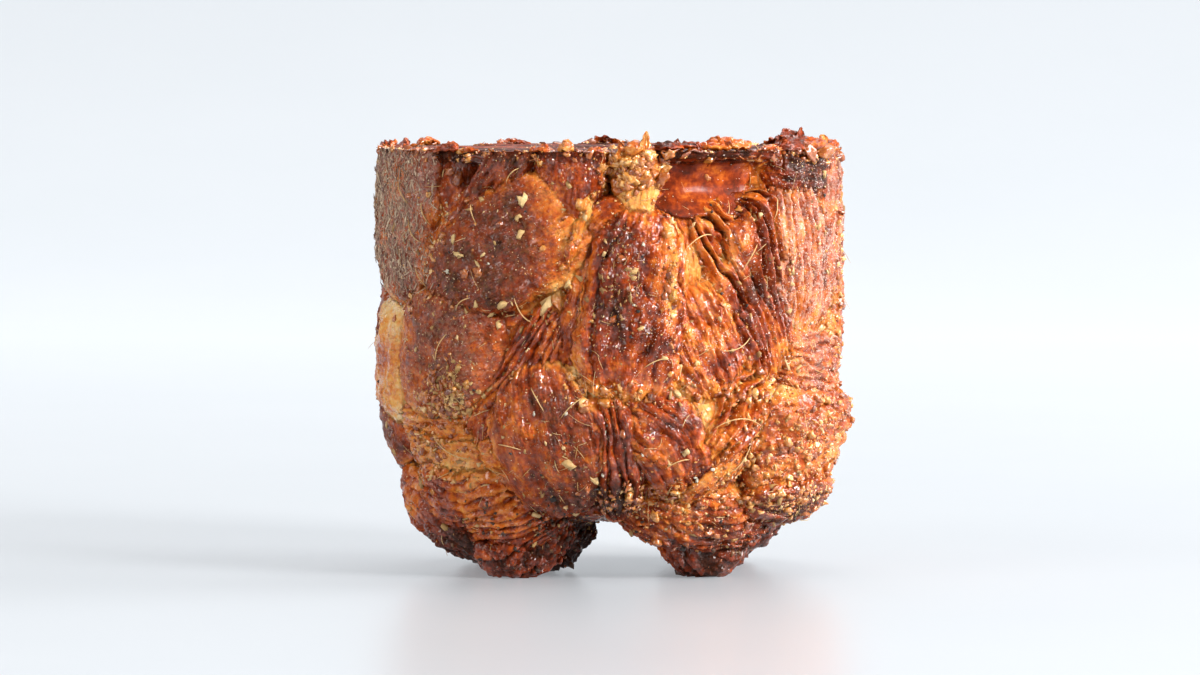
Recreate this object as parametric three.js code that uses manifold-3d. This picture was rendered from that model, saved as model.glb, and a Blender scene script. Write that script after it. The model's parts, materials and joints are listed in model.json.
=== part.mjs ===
// A cardamom bun: a knot of layered dough, baked in a straight-sided tin and turned out upside down.
// The tin's flat base made the top. The wall is a weave of dough strips that pressed against the tin, and
// the bun stands on the loose ends of the knot, which rose out of the tin's mouth and are now its feet.
// Millimetres, +Z up, origin on the table under the middle. Angle 0 is the front (-Y) and grows to the right.
import * as THREE from "three";
import { mergeVertices } from "three/addons/utils/BufferGeometryUtils.js";
import Module from "manifold-3d";

const TIN_RADIUS = 40; // inside radius of the tin
const HEIGHT = 72; // from the table to the flat top
const CORE_RADIUS = 37; // the dough behind the strips
const CORE_FOOT = 9; // height of the arch between the feet
const WALL_FOOT = 30; // below this height the wall draws in
const WALL_DRAW = 5.2; // how far the wall has drawn in WALL_FALL lower
const WALL_FALL = 16;
const STATIONS = 7; // steps along a strip
const FACE_STEPS = 6; // steps across a strip's face, unless its layers need more
const REAR_STEPS = 3; // steps across its hidden side
const AHEAD = 0.01; // how far on along a strip its direction is read
const PRESSED = 0.9; // depth of the creases between the folds that the tin's base pressed flat
const CRUMB_SUNK = 0.1; // how far a crumb's middle lies under the crust, in its own widths
const GOLDEN = 0.618; // spreads crumbs evenly
const SLIVER = 0.08; // joined edges shorter than this are closed up
const SEED = 20;

const wasm = await Module();
wasm.setup();

// Repeatable random numbers from 0 to 1.
function randomFrom(seed) {
  let state = seed;
  return () => {
    state = (state * 1664525 + 1013904223) % 4294967296;
    return state / 4294967296;
  };
}

const radians = THREE.MathUtils.degToRad;

// A closed geometry as an exact solid.
function solidOf(geometry) {
  const bare = geometry.clone();
  bare.deleteAttribute("normal");
  bare.deleteAttribute("uv");
  const merged = mergeVertices(bare, 1e-4);
  const mesh = new wasm.Mesh({
    numProp: 3,
    vertProperties: new Float32Array(merged.attributes.position.array),
    triVerts: new Uint32Array(merged.index.array),
  });
  return new wasm.Manifold(mesh);
}

// The solid's largest piece, without sealed hollows, as a geometry.
function geometryOf(solid) {
  const pieces = solid.decompose();
  const main = pieces.reduce((a, b) => (a.volume() > b.volume() ? a : b));
  const { vertProperties, triVerts } = main.getMesh();
  const geometry = new THREE.BufferGeometry();
  geometry.setAttribute("position", new THREE.BufferAttribute(vertProperties, 3));
  geometry.setIndex(new THREE.BufferAttribute(triVerts, 1));
  return geometry;
}

// How far the baked wall stands from the axis at a height.
function wallRadius(height) {
  const below = Math.max(0, WALL_FOOT - height) / WALL_FALL;
  return TIN_RADIUS - WALL_DRAW * below ** 2;
}

// A smooth curve through a strip's three stops: start, middle and end.
function along(stops, t) {
  const [a, b, c] = stops;
  const middle = b.map((v, k) => 2 * v - (a[k] + c[k]) / 2);
  return a.map((v, k) => v * (1 - t) ** 2 + middle[k] * 2 * t * (1 - t) + c[k] * t ** 2);
}

// Maps (along, across, outward) of a strip that lies on the wall. Its stops are [angle, height].
function onWall(strip) {
  const flat = strip.stops.map(([angle, height]) => [radians(angle) * TIN_RADIUS, height]);
  return (t, across, outward) => {
    const here = along(flat, t);
    const ahead = along(flat, t + AHEAD);
    const run = new THREE.Vector2(ahead[0] - here[0], ahead[1] - here[1]).normalize();
    const around = here[0] - run.y * across;
    const up = here[1] + run.x * across;
    const radius = wallRadius(up) + outward;
    const angle = around / TIN_RADIUS;
    return new THREE.Vector3(radius * Math.sin(angle), -radius * Math.cos(angle), up);
  };
}

// Maps a strip that faces down or up. Its stops are [angle, height, radius, tilt], where tilt is how far
// its face has turned down from the level: 90 faces the table and -90 the ceiling.
function inSpace(strip) {
  const point = ([angle, height, radius]) => {
    return [radius * Math.sin(radians(angle)), -radius * Math.cos(radians(angle)), height];
  };
  const path = strip.stops.map(point);
  return (t, across, rise) => {
    const here = new THREE.Vector3(...along(path, t));
    const run = new THREE.Vector3(...along(path, t + AHEAD)).sub(here).normalize();
    const [angle, , , tilt] = along(strip.stops, t);
    const level = Math.cos(radians(tilt));
    const outward = new THREE.Vector3(Math.sin(radians(angle)), -Math.cos(radians(angle)), 0);
    const face = outward.multiplyScalar(level);
    face.z = -Math.sin(radians(tilt));
    face.addScaledVector(run, -face.dot(run)).normalize();
    const side = face.clone().cross(run);
    return here.addScaledVector(side, across).addScaledVector(face, rise);
  };
}

const signedPower = (value, power) => Math.sign(value) * Math.abs(value) ** power;

// What a strip is like unless it says otherwise: its depth, how far it stands back from the tin, how far its
// two ends dive under their neighbours, how blunt they are, how square its section is (2 is an ellipse), its
// baked layers and the grooves between them.
const usual = { deep: 8, back: 0, dive: [2, 2], blunt: 3.4, square: 3.2, layers: 0, groove: 0.7 };

// One strip of dough as a closed swept solid with rounded ends and a flattened face.
function stripSolid(strip) {
  const { wide, deep, back, dive, blunt, square, layers, groove } = { ...usual, ...strip };
  const widths = Array.isArray(wide) ? wide.map((w) => [w]) : [[wide], [wide], [wide]];
  const place = strip.stops[0].length === 2 ? onWall(strip) : inSpace(strip);
  const faceSteps = Math.max(FACE_STEPS, 2 * layers);
  const section = (t) => {
    const from = 2 * t - 1;
    const swell = (1 - Math.abs(from) ** blunt) ** (1 / blunt);
    const sunk = back + (from < 0 ? dive[0] : dive[1]) * from ** 4;
    const [width] = along(widths, t);
    const ring = [];
    const add = (turn, cut) => {
      const across = signedPower(Math.cos(turn), 2 / square) * width * 0.5 * swell;
      const rise = signedPower(Math.sin(turn), 2 / square);
      ring.push(place(t, across, ((rise * swell - 1) * deep) / 2 - sunk - cut * swell));
    };
    for (let k = 0; k <= faceSteps; k++) {
      const inner = layers > 0 && k > 0 && k < faceSteps && k % 2 === 0;
      add((Math.PI * k) / faceSteps, inner ? groove : 0);
    }
    for (let k = 1; k < REAR_STEPS; k++) add(Math.PI * (1 + k / REAR_STEPS), 0);
    return ring;
  };
  const rings = [];
  for (let i = 1; i < STATIONS; i++) rings.push(section((1 - Math.cos((Math.PI * i) / STATIONS)) / 2));
  const count = rings[0].length;
  const tip = (t, end) => place(t, 0, -back - dive[end] - deep / 2);
  const points = [tip(0, 0), ...rings.flat(), tip(1, 1)];
  const index = [];
  const last = points.length - 1;
  for (let j = 0; j < count; j++) {
    const next = (j + 1) % count;
    index.push(0, 1 + next, 1 + j);
    index.push(last, last - count + j, last - count + next);
    for (let i = 0; i < rings.length - 1; i++) {
      const low = 1 + i * count;
      const high = low + count;
      index.push(low + j, low + next, high + next, low + j, high + next, high + j);
    }
  }
  const geometry = new THREE.BufferGeometry().setFromPoints(points);
  geometry.setIndex(index);
  return solidOf(geometry);
}

// The strips that the front shows, from the top left to the bottom right. A width is one number, or three
// for the start, the middle and the end.
const frontStrips = [
  {
    name: "left band",
    stops: [[-70, 80], [-70, 62], [-72, 46]],
    wide: [28, 28, 22], dive: [0, 1], blunt: 5,
  },
  {
    name: "left band's flank",
    stops: [[-47, 78], [-50, 62], [-62, 49]],
    wide: 11, back: 2.8, dive: [0, 1],
  },
  {
    name: "upper left ridge",
    stops: [[-21, 79], [-31, 66], [-53, 52]],
    wide: [12, 10, 8], back: 0.6, dive: [0, 1],
  },
  { name: "upper left fold", stops: [[-6, 63], [-29, 55.5], [-58, 48]], wide: [18, 20, 9], dive: [1, 2] },
  { name: "glazed cap", stops: [[-10, 80], [-11, 69], [-13, 58]], wide: 13, back: 0.7, dive: [0, 2] },
  { name: "cream edge", stops: [[-3, 67], [-8, 59], [-12, 46]], wide: 4, deep: 6, back: 0.1, blunt: 2.4 },
  { name: "left bulge", stops: [[-100, 37], [-82, 36], [-60, 36]], wide: 21, back: 1.2, dive: [1, 2] },
  { name: "left fold", stops: [[-69, 40], [-48, 38], [-25, 41]], wide: [17, 22, 10], dive: [1, 2] },
  { name: "left fold's layers", stops: [[-72, 27], [-54, 26], [-35, 26]], wide: 8, back: 0.7, layers: 4 },
  { name: "layered diagonal", stops: [[-10, 48], [-24, 35], [-42, 21]], wide: 11, back: 1.2, layers: 5 },
  { name: "low left fold", stops: [[-70, 20], [-52, 20], [-34, 18]], wide: 11, back: 0.8 },
  { name: "pink fold", stops: [[-20, 38], [-17, 26], [-13, 11]], wide: [10, 21, 18], dive: [1, 2] },
  { name: "tongue", stops: [[-38, 21.5], [-28, 21], [-16, 18]], wide: 6, back: 0.4 },
  { name: "dark layers", stops: [[-1, 35], [1, 24], [4, 10]], wide: [13, 11, 10], back: 0.3, layers: 5 },
  { name: "leaf", stops: [[3, 30], [14, 25], [25, 14]], wide: 14, layers: 5, blunt: 2.4, back: -0.2 },
  {
    name: "centre fold",
    stops: [[9, 63], [5.5, 47], [3, 29.5]],
    wide: [15, 18, 19], back: -0.6, layers: 3,
  },
  { name: "centre fold's edge", stops: [[-2, 61], [-6, 48], [-11, 35]], wide: 8, back: 0.6, layers: 2 },
  {
    name: "centre fold's hem",
    stops: [[-15, 38], [-6, 34], [4, 31]],
    wide: 5, deep: 6, back: 0.4, blunt: 2.4,
  },
  { name: "dome", stops: [[-7, 56], [0, 61], [6, 57]], wide: 8, back: 1.2 },
  { name: "neck", stops: [[7, 79], [7, 68], [6, 56]], wide: [11, 9, 5], back: 1.4, dive: [0, 1] },
  { name: "amber hollow", stops: [[8, 67.5], [29, 67.5], [54, 67]], wide: 9, back: 3 },
  { name: "lip", stops: [[8, 71.5], [29, 71.8], [52, 71.5]], wide: 3, deep: 6, back: 0.3 },
  { name: "pale strip", stops: [[19, 68], [19, 57], [20, 43]], wide: 8, back: 2.2 },
  { name: "first leaves", stops: [[23, 68], [29, 58], [39, 43]], wide: 9, back: 0.8, layers: 3, groove: 1 },
  {
    name: "deep leaves",
    stops: [[37, 68], [41, 58], [46, 43]],
    wide: 14, back: 0.3, layers: 5, groove: 1.2,
  },
  { name: "right shoulder", stops: [[54, 68], [57, 55], [56, 40]], wide: 19, dive: [1, 2] },
  {
    name: "orange fold",
    stops: [[17, 51], [24, 41], [32, 29]],
    wide: [12, 15, 13], layers: 3, groove: 0.4,
  },
  { name: "fine leaves", stops: [[38, 50], [43, 42], [48, 31]], wide: 14, back: 0.5, layers: 6 },
  { name: "glazed shoulder", stops: [[40, 70], [56, 68.5], [78, 68]], wide: 9, back: 0.1, layers: 3 },
  {
    name: "right edge",
    stops: [[77, 80], [76, 60], [76, 42]],
    wide: 18, back: 0.2, dive: [0, 2], blunt: 5,
  },
  { name: "level leaves", stops: [[44, 37], [64, 35.5], [98, 35]], wide: 13, back: 0.2, layers: 5 },
  {
    name: "fan",
    stops: [[49, 33], [37, 27], [25, 14]],
    wide: [11, 15, 10], back: 0.5, layers: 5, groove: 1,
  },
  { name: "pale strip below", stops: [[20, 34], [26, 25], [29, 16]], wide: 8, back: 2 },
  { name: "orange strip", stops: [[41, 23], [30, 18], [20, 12]], wide: 6, back: 0.2 },
  { name: "crumbed fold", stops: [[40, 23], [62, 22], [100, 21]], wide: 20, back: -2, dive: [1, 2] },
  { name: "ledge", stops: [[40, 13.5], [64, 12.5], [94, 13.5]], wide: [7, 8, 5], back: -4.2 },
];

// The ends of the knot that came out of the tin's mouth and bear the bun, each with its face turned down.
// A tip reaches just below the table's level, which leaves it a small flat spot.
const feet = [
  {
    name: "left foot",
    stops: [[-80, 13.5, 34.5, 25], [-46, 8.5, 33, 40], [-11, 13.5, 30, 25]],
    wide: [17, 21, 12],
    deep: 12,
    square: 2.5,
    layers: 5,
  },
  {
    name: "left foot's flank",
    stops: [[-94, 18, 36, 10], [-70, 7.5, 34, 35], [-38, 1, 26, 75]],
    wide: [12, 13, 11],
    square: 2.2,
    layers: 3,
  },
  {
    name: "left foot's tip",
    stops: [[-66, 5, 28, 50], [-41, -0.3, 25.5, 75], [-14, 8, 25, 50]],
    wide: [12, 13, 10],
    square: 2,
  },
  {
    name: "charred foot",
    stops: [[-84, 9, 16, 60], [-54, 0.4, 12.5, 85], [-4, 9, 9, 60]],
    wide: [10, 9, 9],
    deep: 6,
    square: 2.4,
  },
  {
    name: "right foot",
    stops: [[-2, 12, 30, 30], [36, 7.5, 31.5, 40], [66, 11, 34, 25]],
    wide: [12, 14, 13],
    deep: 11,
    square: 2.5,
    layers: 3,
  },
  {
    name: "right foot's tip",
    stops: [[20, 7, 26, 50], [45, -0.3, 24.5, 75], [70, 6, 28, 50]],
    wide: [9, 11, 11],
    square: 2,
  },
  {
    name: "right rear foot",
    stops: [[82, 12, 33, 30], [124, 7, 33, 45], [160, 12, 32, 30]],
    wide: 20,
    deep: 11,
  },
  {
    name: "right rear foot's tip",
    stops: [[96, 8, 26, 60], [128, -0.5, 25, 80], [158, 8, 25, 60]],
    wide: 15,
    square: 2.2,
  },
  {
    name: "left rear foot",
    stops: [[-84, 12, 33, 30], [-126, 7, 33, 45], [-162, 12, 32, 30]],
    wide: 20,
    deep: 11,
  },
  {
    name: "left rear foot's tip",
    stops: [[-98, 8, 26, 60], [-130, -0.5, 25, 80], [-160, 8, 25, 60]],
    wide: 15,
    square: 2.2,
  },
];

// The side that the front hides: three courses of folds that lean one way and then the other.
const REAR_FROM = 82;
const REAR_TO = 282;
const rearCourses = [
  { height: 62, count: 6, lean: 9, wide: 20 },
  { height: 42, count: 5, lean: -9, wide: 19 },
  { height: 23, count: 6, lean: 7, wide: 17 },
];

function rearStrips() {
  const random = randomFrom(SEED);
  const strips = [];
  for (const [row, { height, count, lean, wide }] of rearCourses.entries()) {
    const step = (REAR_TO - REAR_FROM) / count;
    for (let k = 0; k < count; k++) {
      const angle = REAR_FROM + step * (k + 0.5);
      const reach = step * 0.75;
      const up = height + 2 * (random() - 0.5);
      const bow = 3 * (random() - 0.5);
      strips.push({
        name: `rear fold ${row}-${k}`,
        stops: [[angle - reach, up - lean], [angle, up + bow], [angle + reach, up + lean]],
        wide: wide + 3 * random(),
        back: 0.8 * random() - 0.4,
        layers: random() < 0.6 ? 4 : 0,
        blunt: 2.8 + 0.8 * random(),
      });
    }
  }
  return strips;
}

// The knot's arms under the tin's base: they curl out of the middle and were pressed flat.
function topStrips() {
  const strips = [];
  const arms = 7;
  const face = -90;
  for (let k = 0; k < arms; k++) {
    const angle = (360 / arms) * k;
    const up = HEIGHT + 1 + 0.3 * ((k * 2) % 3);
    strips.push({
      name: `top arm ${k}`,
      stops: [[angle, up, 2, face], [angle + 40, up, 21, face], [angle + 82, up - 0.3, 37, face]],
      wide: [11, 17, 21],
      dive: [0.6, 0.8],
      blunt: 3,
    });
  }
  return strips;
}

// The dough behind the strips: a drum with a hollowed foot.
function coreSolid() {
  const profile = [
    [0, CORE_FOOT],
    [14, CORE_FOOT],
    [27, CORE_FOOT + 2],
    [CORE_RADIUS - 2, CORE_FOOT + 11],
    [CORE_RADIUS, CORE_FOOT + 20],
    [CORE_RADIUS, HEIGHT - PRESSED],
    [0, HEIGHT - PRESSED],
  ];
  const outline = profile.map(([radius, height]) => new THREE.Vector2(radius, height));
  return solidOf(new THREE.LatheGeometry(outline, 32).rotateX(Math.PI / 2));
}

// What the tin's base and the table leave: everything between two level planes.
function tinSolid() {
  const tin = new THREE.CylinderGeometry(2 * TIN_RADIUS, 2 * TIN_RADIUS, HEIGHT, 8);
  return solidOf(tin.rotateX(Math.PI / 2).translate(0, 0, HEIGHT / 2));
}

// Where the crumbs of spiced sugar lie that show from a step away. On the wall a zone is a range of angles
// and heights, and on the rim, where crumbs stick up, a range of angles and radii.
const crumbZones = [
  { name: "all round", angles: [0, 360], heights: [15, 70], count: 34, wide: [1.2, 2] },
  { name: "above the neck", angles: [-3, 14], heights: [65, 71], count: 5, wide: [1.8, 2.6] },
  { name: "upper left fold", angles: [-42, -14], heights: [50, 66], count: 4, wide: [1.4, 2] },
  { name: "left hollow", angles: [-45, -41], heights: [65, 69], count: 1, wide: [3, 3] },
  { name: "left fold's foot", angles: [-50, -36], heights: [27, 35], count: 4, wide: [1.5, 2.2] },
  { name: "centre fold", angles: [-1, 5], heights: [42, 57], count: 3, wide: [1.4, 2] },
  { name: "hem of the centre", angles: [-14, 12], heights: [29, 36], count: 4, wide: [1.4, 2.2] },
  { name: "crumbed fold", angles: [42, 76], heights: [14, 30], count: 6, wide: [1.5, 2.4] },
  { name: "rim's right corner", angles: [50, 72], radii: [35.5, 39.5], count: 6, wide: [3, 4.2] },
  { name: "rim's left corner", angles: [-66, -44], radii: [36, 38.5], count: 3, wide: [1.4, 2] },
  { name: "rim's middle", angles: [-16, 32], radii: [35, 38.5], count: 5, wide: [1.4, 2.2] },
];

// Crumbs, each half sunk where a ray from outside meets the dough.
function crumbSolids(dough) {
  const random = randomFrom(SEED + 1);
  const surface = new THREE.Mesh(geometryOf(dough), new THREE.MeshBasicMaterial());
  const caster = new THREE.Raycaster();
  const crumbs = [];
  for (const { angles, heights, radii, count, wide } of crumbZones) {
    for (let k = 0; k < count; k++) {
      const spread = (from, to, share) => THREE.MathUtils.lerp(from, to, share);
      const angle = radians(spread(...angles, (k * GOLDEN + 0.3) % 1));
      const share = (k + 0.5) / count;
      const outward = new THREE.Vector3(Math.sin(angle), -Math.cos(angle), 0);
      const from = outward.clone().multiplyScalar(heights ? 2 * TIN_RADIUS : spread(...radii, share));
      from.z = heights ? spread(...heights, share) : 2 * HEIGHT;
      caster.set(from, heights ? outward.negate() : new THREE.Vector3(0, 0, -1));
      const [hit] = caster.intersectObject(surface);
      const size = spread(...wide, random());
      const crumb = new THREE.IcosahedronGeometry(size / 2, 0).scale(1.2, 0.9, 0.8);
      crumb.rotateX(Math.PI * random()).rotateZ(Math.PI * random());
      const place = hit.point.addScaledVector(hit.face.normal, -CRUMB_SUNK * size);
      crumbs.push(solidOf(crumb.translate(place.x, place.y, place.z)));
    }
  }
  return crumbs;
}

const strips = [...frontStrips, ...rearStrips(), ...topStrips(), ...feet];
const knot = wasm.Manifold.union([coreSolid(), ...strips.map(stripSolid)]).intersect(tinSolid());
const dough = wasm.Manifold.union([knot, ...crumbSolids(knot)]).simplify(SLIVER);

const crust = new THREE.MeshStandardMaterial({ color: 0x9a4a1c, roughness: 0.45, metalness: 0 });
const bun = new THREE.Mesh(geometryOf(dough), crust);
bun.name = "bun";

const group = new THREE.Group();
group.add(bun);

export default group;
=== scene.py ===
import json
import math
from itertools import product
from types import SimpleNamespace

import bmesh
import bpy
import numpy as np
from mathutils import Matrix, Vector
from mathutils.bvhtree import BVHTree

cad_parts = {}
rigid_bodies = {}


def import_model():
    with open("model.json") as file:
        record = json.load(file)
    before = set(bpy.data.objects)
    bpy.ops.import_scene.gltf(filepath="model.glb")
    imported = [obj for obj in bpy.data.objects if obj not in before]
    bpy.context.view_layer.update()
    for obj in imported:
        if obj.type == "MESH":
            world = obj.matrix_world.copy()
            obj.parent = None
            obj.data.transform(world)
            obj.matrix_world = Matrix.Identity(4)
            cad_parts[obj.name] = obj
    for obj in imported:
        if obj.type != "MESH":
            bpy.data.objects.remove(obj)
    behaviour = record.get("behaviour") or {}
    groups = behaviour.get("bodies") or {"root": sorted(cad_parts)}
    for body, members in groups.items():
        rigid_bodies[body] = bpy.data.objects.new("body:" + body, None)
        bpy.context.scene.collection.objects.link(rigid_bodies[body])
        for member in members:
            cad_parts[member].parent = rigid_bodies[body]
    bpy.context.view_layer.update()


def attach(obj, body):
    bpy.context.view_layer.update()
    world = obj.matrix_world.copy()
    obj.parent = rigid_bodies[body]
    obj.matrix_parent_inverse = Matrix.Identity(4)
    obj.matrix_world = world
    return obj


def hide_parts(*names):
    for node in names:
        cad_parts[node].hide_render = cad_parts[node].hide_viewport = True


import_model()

MM = 0.001
TIN_RADIUS = 40.0  # inside radius of the tin
HEIGHT = 72.0  # from the table to the flat top
CORE_RADIUS = 37.0  # the dough behind the folds
CORE_FOOT = 9.0  # height of the arch between the feet
CORE_STEP = 1.3  # spacing of the core's rings
CORE_AROUND = 170  # points in each ring
WALL_FOOT = 30.0  # below this height the wall draws in
WALL_FALL = 16.0  # this much lower, it has drawn in by WALL_DRAW
WALL_DRAW = 5.2
PRESSED = 0.9  # depth of the creases between the folds that the tin's base pressed flat
AHEAD = 0.01  # how far on along a fold its direction is read
GOLDEN = 0.618  # spreads crumbs evenly
SEED = 20


# Smooth random values in space, the same on each run
class Noise:
    def __init__(self, seed):
        rng = np.random.default_rng(seed)
        self.table = rng.permutation(256)
        slopes = rng.normal(size=(256, 3))
        self.slopes = slopes / np.linalg.norm(slopes, axis=1, keepdims=True)

    # A number from 0 to 255 for each cell of space
    def number(self, cells):
        x, y, z = cells.T & 255
        return self.table[(self.table[(self.table[x] + y) & 255] + z) & 255]

    def __call__(self, points):
        cell = np.floor(points).astype(np.int64)
        inner = points - cell
        ease = inner**3 * (inner * (inner * 6 - 15) + 10)
        total = np.zeros(len(points))
        for corner in product((0, 1), repeat=3):
            slope = self.slopes[self.number(cell + corner)]
            weight = np.where(corner, ease, 1 - ease).prod(axis=1)
            total += weight * (slope * (inner - corner)).sum(axis=1)
        return total * 1.6

    def rough(self, points, octaves=3):
        total = np.zeros(len(points))
        for k in range(octaves):
            total += self(points * 2**k + 17.3 * k) / 2**k
        return total


noise = Noise(SEED)


def smooth(low, high, value):
    share = np.clip((value - low) / (high - low), 0, 1)
    return share * share * (3 - 2 * share)


# Blisters: 1 in the middle of each cell of a random foam, down to 0 in the creases between them
def blisters(points):
    cell = np.floor(points).astype(np.int64)
    nearest = np.full(len(points), 9.0)
    second = np.full(len(points), 9.0)
    for corner in product((-1, 0, 1), repeat=3):
        here = cell + corner
        middle = here + 0.5 + 0.42 * noise.slopes[noise.number(here)]
        away = np.linalg.norm(points - middle, axis=1)
        second = np.minimum(second, np.maximum(away, nearest))
        nearest = np.minimum(nearest, away)
    return smooth(0.0, 0.45, second - nearest)


def wall_radius(height):
    below = np.maximum(0, WALL_FOOT - height) / WALL_FALL
    return TIN_RADIUS - WALL_DRAW * below**2


# A smooth curve through three stops: start, middle and end
def along(stops, t):
    a, b, c = np.asarray(stops, float)
    t = np.asarray(t)[..., None]
    middle = 2 * b - (a + c) / 2
    return a * (1 - t) ** 2 + middle * 2 * t * (1 - t) + c * t**2


# Values side by side, as the coordinates of points or the corners of faces
def stack(*values):
    return np.stack(np.broadcast_arrays(*values), axis=-1)


# The place at an angle from the front, in radians, at a distance from the axis and at a height
def spot(angle, radius, height):
    return stack(radius * np.sin(angle), -radius * np.cos(angle), height)


def unit(vectors):
    return vectors / np.maximum(np.linalg.norm(vectors, axis=-1, keepdims=True), 1e-9)


# Places (along, across, outward) of a fold that lies on the wall. Its stops are (angle, height)
def on_wall(stops):
    flat = [(math.radians(angle) * TIN_RADIUS, height) for angle, height in stops]

    def place(t, across, outward):
        here = along(flat, t)
        run = unit(along(flat, t + AHEAD) - here)
        around = here[..., 0] - run[..., 1] * across
        up = here[..., 1] + run[..., 0] * across
        radius = wall_radius(up) + outward
        angle = around / TIN_RADIUS
        return spot(angle, radius, up)

    return place


# Places of a fold that faces down or up. Its stops are (angle, height, radius, tilt), where tilt is how far
# its face has turned down from the level: 90 faces the table and -90 the ceiling
def in_space(stops):
    turned = [(math.radians(angle), height, radius) for angle, height, radius, _ in stops]
    path = [(radius * math.sin(a), -radius * math.cos(a), height) for a, height, radius in turned]

    def place(t, across, rise):
        here = along(path, t)
        run = unit(along(path, t + AHEAD) - here)
        facing = np.radians(along(stops, t))
        angle, tilt = facing[..., 0], facing[..., 3]
        face = spot(angle, np.cos(tilt), -np.sin(tilt))
        face = unit(face - run * (face * run).sum(axis=-1, keepdims=True))
        side = np.cross(face, run)
        return here + side * across[..., None] + face * rise[..., None]

    return place


# What a fold is like unless it says otherwise. In millimetres: its depth, how far it stands back from the
# tin, how far its two ends dive, how deep the grooves between its layers are and how far its face sags in
# the middle. How blunt its ends and how square its section are (2 is an ellipse), and how many layers it
# shows. How brown it baked, from 0 to 1, and how dusty it is and how pale its edges are, from 0 up; thick
# dust turns pale pink, which is partly painted sheen. How lumpy its face is and how coarsely it is meshed,
# where 1 is usual. A width or a browning is one value, or three: at the start, the middle and the end.
USUAL = {
    "deep": 8, "back": 0, "dive": (2, 2), "blunt": 3.4, "square": 3.2, "layers": 0, "groove": 0.7,
    "brown": 0.6, "dust": 0.0, "hem": 0.3, "lumpy": 1.0, "sag": 0.0, "coarse": 1.0,
}


def fold(name, stops, wide, **more):
    return SimpleNamespace(name=name, stops=stops, wide=wide, **{**USUAL, **more})


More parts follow.
